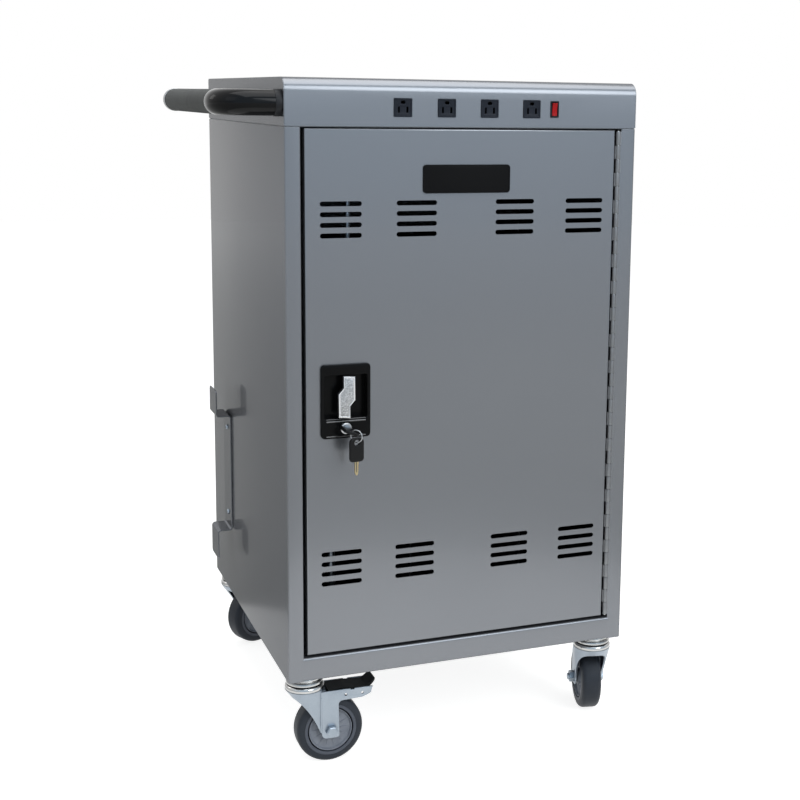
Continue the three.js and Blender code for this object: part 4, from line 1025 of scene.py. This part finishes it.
for name, body, first, x0, x1 in LEAVES:
    parts = [block(x0, x1, LEAF_FRONT, STILE_RETURN - 1, hinge_bottom, hinge_top)]
    for k in range(first, KNUCKLES, 2):
        z0 = hinge_bottom + k * knuckle_pitch + KNUCKLE_GAP
        z1 = hinge_bottom + (k + 1) * knuckle_pitch - KNUCKLE_GAP
        barrel = turned(ring_profile(2.0, KNUCKLE_RADIUS, z0, z1, 0.4), 20)
        barrel.transform(hinge_place)
        start, end = (x1, HINGE_X - STRAP_START) if first else (HINGE_X + STRAP_START, x0)
        strap = block(min(start, end), max(start, end), HINGE_Y - 0.6, HINGE_Y + 0.6, z0, z1)
        tab = block(x0, x1, HINGE_Y + 0.2, LEAF_FRONT, z0, z1)
        parts += [barrel, strap, tab]
    add_piece(name, joined(*parts), hinge_paint, body, [f"front_{name}"])
bead_start = HINGE_X + KNUCKLE_RADIUS + 0.1
bead = block(bead_start, WIDTH - STILE + WELD, HINGE_Y + 0.3, SHEET, hinge_bottom, hinge_top)
add_piece("hinge_weld", bead, body_paint, "cabinet", (), 0.2)
pin_low, pin_high = in_cabinet("front_hinge_pin")
pin = turned(rod_profile(1.7, pin_low.z, pin_high.z, 0.4), 16)
add_piece("hinge_pin", pin, steel_bright, "cabinet", ["front_hinge_pin"], place=hinge_place)

# Lock: a gloss black moulded plate with a square finger recess, a ridge under it, and a die-cast
# lever with a knurled face and a polished border. Behind the door it turns a cam with two rods.
lock_black = finish(
    "lock_black", ((0.0048, 0.0050, 0.0056), (0.0038, 0.0040, 0.0046)), (0.16, 0.24), drift=40.0,
    grain=(1600.0, 0.00002), specular=0.1,
)
escutcheon_low, escutcheon_high = in_cabinet("lock_escutcheon")
recess_outline = lock_square(RECESS_HALF, 3)
tub_outline = lock_square(TUB_HALF, 4)
plug_hole = circle(lock_x, key_z, PLUG_RADIUS + 0.3, 40)
TUB_BACK = 14.0
TUB_FLOOR = TUB_BACK - 1.4
RIDGE_REACH = 29
RIDGES = ((388.5, 1.3), (escutcheon_low.z + 3.2, 0.9), (lever_z - RECESS_HALF - 0.7, 0.6))
ridges = [
    prism(arc(escutcheon_low.y + 0.3, z, radius, 90, 180, 10), "x",
          lock_x - RIDGE_REACH, lock_x + RIDGE_REACH)
    for z, radius in RIDGES
]
plate = joined(
    punched(rounded(*face_of(escutcheon_low, escutcheon_high), 6, 8), [recess_outline, plug_hole],
            escutcheon_low.y, -GAP, 1.0, 3),
    punched(tub_outline, [recess_outline], -GAP, TUB_FLOOR),
    punched(tub_outline, [circle(lock_x, lever_z, 5.8)], TUB_FLOOR, TUB_BACK),
)
add_piece("lock_plate", plate, lock_black, "front_door", ["lock_escutcheon"])
ridge_gloss = finish(
    "ridge_gloss", ((0.0048, 0.0050, 0.0056), (0.0038, 0.0040, 0.0046)), (0.05, 0.08), drift=40.0,
    grain=(1600.0, 0.000005), coat=1.0, coat_rough=0.03,
)
add_piece("lock_ridges", joined(*ridges), ridge_gloss, "front_door")

cast_lever = finish(
    "cast_lever", ((0.88, 0.88, 0.89), (0.02, 0.02, 0.022)), (0.30, 0.40), metallic=1.0, drift=560.0,
    grain=(620.0, 0.0006), flake=(700.0, 0.8),
)
LEVER_OUTLINE = [
    (-4.6, 30.5), (-4.5, 13.4), (-12.2, 4.7), (-11.8, -29.3),
    (4.8, -30.5), (4.5, -13.4), (12.2, -4.7), (11.8, 29.3),
]
FIELD_WIDTH = 0.80
FIELD_LENGTH = 0.93
lever_points = [(lock_x + x, lever_z + z) for x, z in LEVER_OUTLINE]
lever_face = [(lock_x + x * FIELD_WIDTH, lever_z + z * FIELD_LENGTH) for x, z in LEVER_OUTLINE]
lever_front = in_cabinet("lock_lever")[0].y
lever_body = punched(lever_points, [], lever_front + 0.5, -2.0, 0.8)
lever_rim = punched(lever_points, [lever_face], lever_front, lever_front + 1.0, 0.3)
spindle = turned(rod_profile(5.5, -2.5, 17.0, 0.4), 28)
spindle.transform(at(lock_x, 0, lever_z) @ TO_BACK)
add_piece("lever_handle", joined(lever_body, spindle), cast_lever, "lock_lever",
          ["lock_lever"])
border_bright = finish(
    "border_bright", ((0.90, 0.90, 0.90), (0.78, 0.78, 0.79)), (0.20, 0.27), metallic=1.0, drift=90.0,
    grain=(1500.0, 0.00002),
)
add_piece("lever_border", lever_rim, border_bright, "lock_lever")
cam_low, cam_high = in_cabinet("lock_cam")
cam_reach = (cam_high.x - cam_low.x) / 2
cam_outline = rounded(lock_x - cam_reach, lock_x + cam_reach, lever_z - 6, lever_z + 6, 5.5)
CAM_HOLES = ((0, 4.3), (-ROD_OFFSET, 2.2), (ROD_OFFSET, 2.2))
cam_holes = [circle(lock_x + aside, lever_z, radius) for aside, radius in CAM_HOLES]
lever_cam = punched(cam_outline, cam_holes, cam_low.y, cam_high.y, 0.3)
add_piece("lever_cam", lever_cam, zinc_plate, "lock_lever", ["lock_cam"])
for label in ("upper", "lower"):
    low, high = in_cabinet(f"{label}_lock_rod")
    rod = turned(rod_profile(ROD_RADIUS, low.z, high.z, 1.4), 24)
    spot = middle(f"{label}_lock_rod")
    add_piece(f"{label}_rod", rod, zinc_plate, f"{label}_rod", [f"{label}_lock_rod"],
              place=at(spot.x, spot.y, 0))

# Key, plug and ring: a bright lock plug, a flat key with a black moulded head turned a little from
# level, and a wire ring with the spare key hanging from it.
KEY_TILT = math.radians(20)
lock_place = at(lock_x, 0, key_z) @ Matrix.Rotation(KEY_TILT, 4, "Y")
PLUG_PROFILE = [
    (5.5, -7.3), (6.8, -7.3), (PLUG_RADIUS, -6.3), (PLUG_RADIUS, 18.0), (5.5, 18.0), (5.5, -7.3),
]
KEY_SLOT = (-4.4, 4.4, -1.4, 1.4)
plug_core = punched(circle(0, 0, 5.3, 32), [rectangle(*KEY_SLOT)], -7.6, 16.0, 0.3)
add_piece("plug_shell", turned(PLUG_PROFILE, 36), steel_bright, "lock_plug",
          ["lock_cylinder"], place=lock_place @ TO_BACK)
add_piece("plug_core", plug_core, zinc_plate, "lock_plug", place=lock_place @ at(0, 0.6, 0))
key_plastic = finish(
    "key_plastic", ((0.0065, 0.0065, 0.007), (0.005, 0.005, 0.0055)), (0.28, 0.36), drift=60.0,
    grain=(1800.0, 0.00003), specular=0.22,
)
key_brass = finish(
    "key_brass", ((0.52, 0.43, 0.25), (0.42, 0.34, 0.19)), (0.28, 0.36), metallic=1.0, drift=90.0,
    grain=(1500.0, 0.00002),
)
BOW_WIDTH = 22.0
BOW_LENGTH = 32.0
SPARE_LENGTH = 35.0
BOW_THICK = 5.0
BOW_HOLE = 4.2
HOLE_MARGIN = 7.0
BLADE_REACH = 20.0
HEEL_CORNER = 7
NECK_CORNER = 5
BITS = 4
BIT_PITCH = 3
LAID_FLAT = Matrix(((1, 0, 0, 0), (0, 0, 1, 0), (0, -1, 0, 0), (0, 0, 0, 1)))


def key_pieces(hole_y, bow_length):
    """A moulded head and a brass blade in the (x, y) plane, with the tip towards +y."""
    start = hole_y - HOLE_MARGIN
    end = start + bow_length
    wide = BOW_WIDTH / 2
    heel, neck = HEEL_CORNER, NECK_CORNER
    head = (
        arc(wide - heel, start + heel, heel, -90, 90, 8) + arc(wide - neck, end - neck, neck, 0, 90, 8)
        + arc(neck - wide, end - neck, neck, 90, 90, 8) + arc(heel - wide, start + heel, heel, 180, 90, 8)
    )
    bow = punched(head, [circle(0, hole_y, BOW_HOLE)], -BOW_THICK / 2, BOW_THICK / 2, 1.2, 3)
    blade = [(-3, end - 4), (3, end - 4), (3, end + 3)]
    for k in range(BITS):
        blade += [(3, end + 4 + BIT_PITCH * k), (2.0, end + 5.5 + BIT_PITCH * k)]
    tip = end + BLADE_REACH - 0.2
    blade += [(2.4, end + 16.5), (0.6, tip), (-0.6, tip), (-3, end + 16)]
    groove = rectangle(-1.3, 0.1, end - 2, end + 15)
    strip = punched(blade, [groove], -1.0, 1.0, 0.2)
    for shape in (bow, strip):
        shape.transform(LAID_FLAT)
    return bow, strip


KEY_HOLE_Y = -33.0
bow, strip = key_pieces(KEY_HOLE_Y, BOW_LENGTH)
add_piece("key_head", bow, key_plastic, "lock_plug", ["lock_key"], place=lock_place)
add_piece("key_blade", strip, key_brass, "lock_plug", place=lock_place)
RING_RADIUS = 9.0
RING_TURN = math.radians(-45)
ring_aside = math.sqrt(RING_RADIUS ** 2 - (RING_RADIUS / 2) ** 2)
ring_x = lock_x + ring_aside * math.cos(RING_TURN)
ring_y = KEY_HOLE_Y + ring_aside * math.sin(RING_TURN)
ring_place = at(ring_x, ring_y, key_z - RING_RADIUS / 2) @ Matrix.Rotation(RING_TURN, 4, "Z")
wire_loop = bmesh.new()
RING_TURNS = 2
RING_STEPS = 48
RING_RISE = 0.8
WIRE_SIDES = 10
WIRE_OUT = 0.6
WIRE_UP = 0.4
coils = []
for k in range(RING_TURNS * RING_STEPS + 1):
    a = 2 * math.pi * k / RING_STEPS
    rise = (k / (RING_TURNS * RING_STEPS) - 0.5) * RING_RISE
    coil = []
    for out, up in circle(0, 0, 1, WIRE_SIDES):
        radius = RING_RADIUS + WIRE_OUT * out
        coil.append(wire_loop.verts.new((radius * math.cos(a), rise + WIRE_UP * up, radius * math.sin(a))))
    coils.append(coil)
bridge(wire_loop, coils)
wire_loop.faces.new(coils[0])
wire_loop.faces.new(coils[-1])
add_piece("split_ring", wire_loop, steel_bright, "key_ring", ["key_ring"], place=ring_place)
SPARE_TURN = math.radians(12)
spare_turn = Matrix.Rotation(SPARE_TURN - RING_TURN, 4, "Z")
spare_place = ring_place @ at(0, 0, -RING_RADIUS) @ spare_turn @ TO_BACK
bow, strip = key_pieces(0.0, SPARE_LENGTH)
add_piece("spare_head", bow, key_plastic, "key_ring", ["spare_key"], place=spare_place)
add_piece("spare_blade", strip, key_brass, "key_ring", place=spare_place)

# Rear door: the same kind of pan over the power bay, on two pivot studs, with fewer vents and a
# small cam lock turned by its own key slot.
rear_low, rear_high = in_cabinet("rear_door")
REAR_TOP = door_high.z
REAR_BOTTOM = door_low.z
REAR_THICK = 18.0
REAR_LOCK_X = 46.0
REAR_LOCK_Z = 420.0
rear_outline = rectangle(
    rear_low.x + DOOR_EDGE, rear_high.x - DOOR_EDGE, REAR_BOTTOM + DOOR_EDGE, REAR_TOP - DOOR_EDGE,
)
rear_openings = [*vent_slots(VENT_OFFSETS[1:3]), circle(REAR_LOCK_X, REAR_LOCK_Z, 9.4)]
rear_face = punched(rear_outline, rear_openings, DEPTH - SHEET, DEPTH)
rear_rim = folded_rim(rear_low.x, rear_high.x, REAR_BOTTOM, REAR_TOP, DEPTH, DEPTH - REAR_THICK)
rear_pan = joined(rear_face, rear_rim)
add_piece("rear_door_pan", rear_pan, body_paint, "rear_door", ["rear_door"])
REAR_PIVOT_X = 502.0
REAR_PIVOT_INSET = 9
pivot_place = at(REAR_PIVOT_X, DEPTH - REAR_PIVOT_INSET, 0)
for label, z0, z1 in (("lower", rear_low.z, REAR_BOTTOM + 1), ("upper", REAR_TOP - 1, rear_high.z)):
    stud = turned(rod_profile(4.0, z0, z1, 0.6), 24)
    add_piece(f"rear_{label}_stud", stud, zinc_plate, "rear_door", place=pivot_place)
cam_low, cam_high = in_cabinet("rear_cam_lock")
barrel_profile = [
    (0, cam_low.y), (9.0, cam_low.y), (9.0, DEPTH + GAP), (11.0, DEPTH + GAP), (11.0, DEPTH + 1.8),
    (9.8, cam_high.y), (6.6, cam_high.y), (6.4, cam_high.y - 0.6), (0, cam_high.y - 0.6),
]
key_slot = block(-0.7, 0.7, -3.6, 3.6, cam_high.y - 3.0, cam_high.y + 4)
barrel = carve(turned(barrel_profile, 40), key_slot)
barrel.transform(TO_BACK)
rear_cam = punched(rounded(-6, 6, -6, 30, 5), [], cam_low.y, cam_low.y + 2.4, 0.3)
add_piece("rear_lock_barrel", joined(barrel, rear_cam), steel_bright, "rear_lock",
          ["rear_cam_lock"], place=at(REAR_LOCK_X, 0, REAR_LOCK_Z))

# Casters: a polished race bolted under each corner, a stamped zinc-plated fork that swivels on it,
# a grey wheel with a rubber tread on a hex bolt, and a black brake pedal on the left pair.
tread_rubber = finish(
    "tread_rubber", ((0.028, 0.034, 0.045), (0.020, 0.025, 0.034)), (0.46, 0.62), drift=26.0,
    grain=(700.0, 0.00008), specular=0.3,
)
shoulder_rubber = finish(
    "shoulder_rubber", ((0.088, 0.100, 0.128), (0.068, 0.080, 0.104)), (0.44, 0.56), drift=40.0,
    grain=(900.0, 0.00006),
)
hub_plastic = finish(
    "hub_plastic", ((0.36, 0.39, 0.45), (0.15, 0.17, 0.21)), (0.38, 0.52), drift=60.0,
    grain=(900.0, 0.00006),
)
# Painted shade: a near-black colour that hardly reflects, put in the groove between hub and shoulder to
# stand for the shade that falls in it
groove_painted_shade = finish(
    "groove_painted_shade", ((0.003, 0.003, 0.004), (0.002, 0.002, 0.003)), (0.5, 0.6), drift=60.0,
    grain=(900.0, 0.00004), specular=0.05,
)
pedal_black = finish(
    "pedal_black", ((0.010, 0.012, 0.012), (0.007, 0.008, 0.009)), (0.30, 0.42), drift=30.0,
    grain=(900.0, 0.00005), specular=0.2,
)
race_steel = finish(
    "race_steel", ((0.56, 0.56, 0.55), (0.44, 0.44, 0.44)), (0.12, 0.20), metallic=1.0, drift=40.0,
    grain=(1400.0, 0.00001),
)
TRAIL = 36.0
WHEEL_RADIUS = 50.8
AXLE_Z = in_cabinet("front_left_caster_wheel")[0].z + WHEEL_RADIUS
FORK_INNER = 18.6
FORK_SHEET = 2.6
FORK_OUTER = FORK_INNER + FORK_SHEET
FORK_FRONT = TRAIL - 17
ARM_FRONT = TRAIL - 17.5
CROWN_RADIUS = 29.3
CONE_TOP = -23.0
CONE_START = 46
ARCH_START = 105
ARCH_TOP = 0.15
ARCH_FOOT = 0.97
ARCH_STEPS = 36
wheel_axes = {joint["child"]: joint["axis"] for joint in frame["joints"]}


def gusset(side):
    """Half of the cone of sheet from the crown's rim to the arms' feet, with half of the wheel arch."""
    shape = bmesh.new()
    skins = []
    for rim, arm in ((CROWN_RADIUS, FORK_OUTER), (CROWN_RADIUS - FORK_SHEET, FORK_INNER)):
        upper, lower = [], []
        for k in range(ARCH_STEPS + 1):
            angle = CONE_START + (180 - CONE_START) * k / ARCH_STEPS
            past = max(0.0, angle - ARCH_START) / (180 - ARCH_START)
            share = ARCH_TOP + (ARCH_FOOT - ARCH_TOP) * (1 - past) ** 3.5
            foot = Vector((FORK_FRONT, side * arm * (1 - past ** 4), AXLE_Z))
            across, along = rim * math.sin(math.radians(angle)), rim * math.cos(math.radians(angle))
            start = Vector((along, side * across, CONE_TOP))
            upper.append(shape.verts.new(start))
            lower.append(shape.verts.new(start.lerp(foot, share)))
        skins.append((upper, lower))
    (upper, lower), (inner_upper, inner_lower) = skins
    strips = (*skins, (upper, inner_upper), (lower, inner_lower))
    for k in range(ARCH_STEPS):
        for one, two in strips:
            shape.faces.new((one[k], one[k + 1], two[k + 1], two[k]))
    for k in (0, -1):
        shape.faces.new((upper[k], lower[k], inner_lower[k], inner_upper[k]))
    return shape


def fork_shape(braked):
    """A bent web, two flat arms drawn from the side, and the cone of sheet in front of them."""
    reach = FORK_INNER + FORK_SHEET / 2 - 0.2
    path = [(-reach, -40.0), (-reach, -25.7), (reach, -25.7), (reach, -40.0)]
    web = prism(bent_strip(path, FORK_SHEET, 9.0, steps=10), "x", FORK_FRONT, 28.0)
    outline = [(ARM_FRONT, -36), (ARM_FRONT, AXLE_Z)]
    outline += arc(TRAIL - 7, AXLE_Z - 3, 8, 171, 99, 8) + arc(TRAIL + 9, AXLE_Z - 8, 3, -90, 90, 4)
    holes = [circle(TRAIL, AXLE_Z, 5.3)]
    if braked:
        outline += arc(TRAIL + 17, -50, 6, 180, -90, 6)
        outline += [(84, -43), (90, -41), (97, -38), (100, -28)]
        outline += [(72, -27.4), (71, -29), (66, -29), (65, -27.2), (ARM_FRONT, -26.6)]
        holes += [circle(58, -35.5, 2.1, 12), circle(84, -36, 2.0, 12)]
    else:
        outline += [(TRAIL + 12, -49), (TRAIL + 6, -34), (34, -28), (ARM_FRONT, -27)]
    arms = [punched(outline, holes, low, low + FORK_SHEET, 0.4) for low in (-FORK_OUTER, FORK_INNER)]
    creases = []
    for side in (-1, 1):
        ridge = arc(TRAIL - 16, side * (FORK_OUTER - 0.3), 1.5, 0, side * 180, 8)
        creases.append(prism(ridge, "z", AXLE_Z, -36))
    return joined(web, *arms, gusset(-1), gusset(1), *creases)


HALF_WIDTH = 16.0


def both_faces(points):
    """Radius and depth below the near face of the wheel, carried on to the far face and closed."""
    near = [(radius, depth - HALF_WIDTH) for radius, depth in points]
    return near + [(radius, -height) for radius, height in near[::-1]] + near[:1]


tread_curve = [
    (44.0 + 6.8 * math.sin(math.radians(a)), 8.0 - 7.6 * math.cos(math.radians(a)))
    for a in range(15, 91, 15)
]
WHEEL_PARTS = (
    ("tread", tread_rubber, [(40.0, 0), (44.5, 0.4), *tread_curve]),
    ("shoulder", shoulder_rubber, [(35.0, 0.6), (35.6, 0), (39.6, 0), (39.9, 0.6)]),
    # the groove ring carries the painted shade colour
    ("groove", groove_painted_shade, [(32.95, 5.0), (34.95, 5.0)]),
    ("hub", hub_plastic, [
        (5.6, 0), (11.5, 0), (12.5, 0.8), (13.6, 4.4), (15.0, 5.0), (30.5, 4.4), (32.0, 1.0), (32.9, 0.8),
    ]),
)
RACE_PROFILE = [
    (0, -14.5), (24.0, -14.5), (26.6, -14.0), (27.7, -12.7), (27.8, -11.0), (27.2, -9.6), (25.8, -8.7),
    (23.8, -8.3), (23.8, -7.3), (25.4, -6.8), (26.3, -5.4), (26.3, -3.4), (25.4, -1.7), (24.0, -0.7),
    (0, -0.4),
]
CROWN_PROFILE = [
    (0, -23.8), (26.4, -23.8), (28.4, -23.0), (CROWN_RADIUS, -21.2), (CROWN_RADIUS, -18.8),
    (28.6, -16.8), (27.2, -15.6), (25.0, -15.3), (0, -15.3),
]
BOLT_FACE = FORK_OUTER + 0.3
BOLT_HEAD = 5.6
BOLT_HEX = circle(0, 0, 9.4, 6)
bolt_chamfer = [
    (radius, -BOLT_FACE - height)
    for radius, height in ((0, 6.5), (7.4, 6.5), (8.6, 5.8), (8.6, BOLT_HEAD), (0, BOLT_HEAD))
]
SPOKE_COUNT = 14
SPOKE_LEVEL = 11.4
PEDAL_PATH = [(33.0, -28.5), (58.0, -27.5), (92.0, -30.5), (106.0, -19.5)]
for name in CASTERS:
    spot = middle(f"{name}_caster_head")
    axis = wheel_axes[f"{name}_wheel"]
    heading = math.atan2(-axis[0], axis[1])
    stand = at(spot.x, spot.y, 0) @ Matrix.Rotation(heading, 4, "Z")
    axle_place = stand @ at(TRAIL, 0, AXLE_Z) @ TO_BACK
    swivel, wheel = f"{name}_swivel", f"{name}_wheel"
    braked = name.endswith("left")

    race = turned(RACE_PROFILE, 56)
    add_piece(f"{name}_race", race, race_steel, "cabinet", [f"{name}_caster_head"], place=stand)
    stem_nut = carve(
        prism(circle(0, 0, 10, 6), "z", 2.3, 11.0), turned(rod_profile(5.0, 6.0, 30.0, 0.2), 20),
    )
    add_piece(f"{name}_stem_nut", stem_nut, zinc_plate, "cabinet", (), 0.6, stand)

    add_piece(f"{name}_crown", turned(CROWN_PROFILE, 56), race_steel, swivel, place=stand)
    fork = fork_shape(braked)
    add_piece(f"{name}_fork", fork, zinc_plate, swivel, [f"{name}_caster_fork"], place=stand)
    bolt = joined(
        turned(rod_profile(5.0, -BOLT_FACE - 1, BOLT_FACE + 10, 0.6), 24),
        turned(bolt_chamfer, 6),
        prism(BOLT_HEX, "z", -BOLT_FACE - BOLT_HEAD, -BOLT_FACE),
        prism(BOLT_HEX, "z", BOLT_FACE, BOLT_FACE + 7.0),
    )
    add_piece(f"{name}_axle_bolt", bolt, zinc_plate, swivel, [f"{name}_caster_axle"], 0.4,
              axle_place)

    for part, material, points in WHEEL_PARTS:
        stands_for = [f"{name}_caster_wheel"] if part == "tread" else ()
        add_piece(f"{name}_{part}", turned(both_faces(points), 72), material, wheel,
                  stands_for, 0, axle_place)
    spokes = []
    for k in range(SPOKE_COUNT):
        for level in (-SPOKE_LEVEL, SPOKE_LEVEL):
            rib = block(15.5, 29.5, -0.7, 0.7, level - 0.6, level + 0.6)
            rib.transform(Matrix.Rotation(2 * math.pi * k / SPOKE_COUNT, 4, "Z"))
            spokes.append(rib)
    add_piece(f"{name}_hub_ribs", joined(*spokes), hub_plastic, wheel, (), 0.4, axle_place)

    if braked:
        strip = prism(bent_strip(PEDAL_PATH, 3.0, 5.0, steps=8), "y", -25.0, 25.0)
        plan = prism(rounded(25.0, 107.0, -17.0, 17.0, 9.0, 8), "z", -60.0, 0.0)
        pedal = boolean(strip, [plan], "INTERSECT")
        add_piece(f"{name}_pedal_plate", pedal, pedal_black, f"{name}_pedal",
                  [f"{name}_brake_pedal"], 0.8, stand)
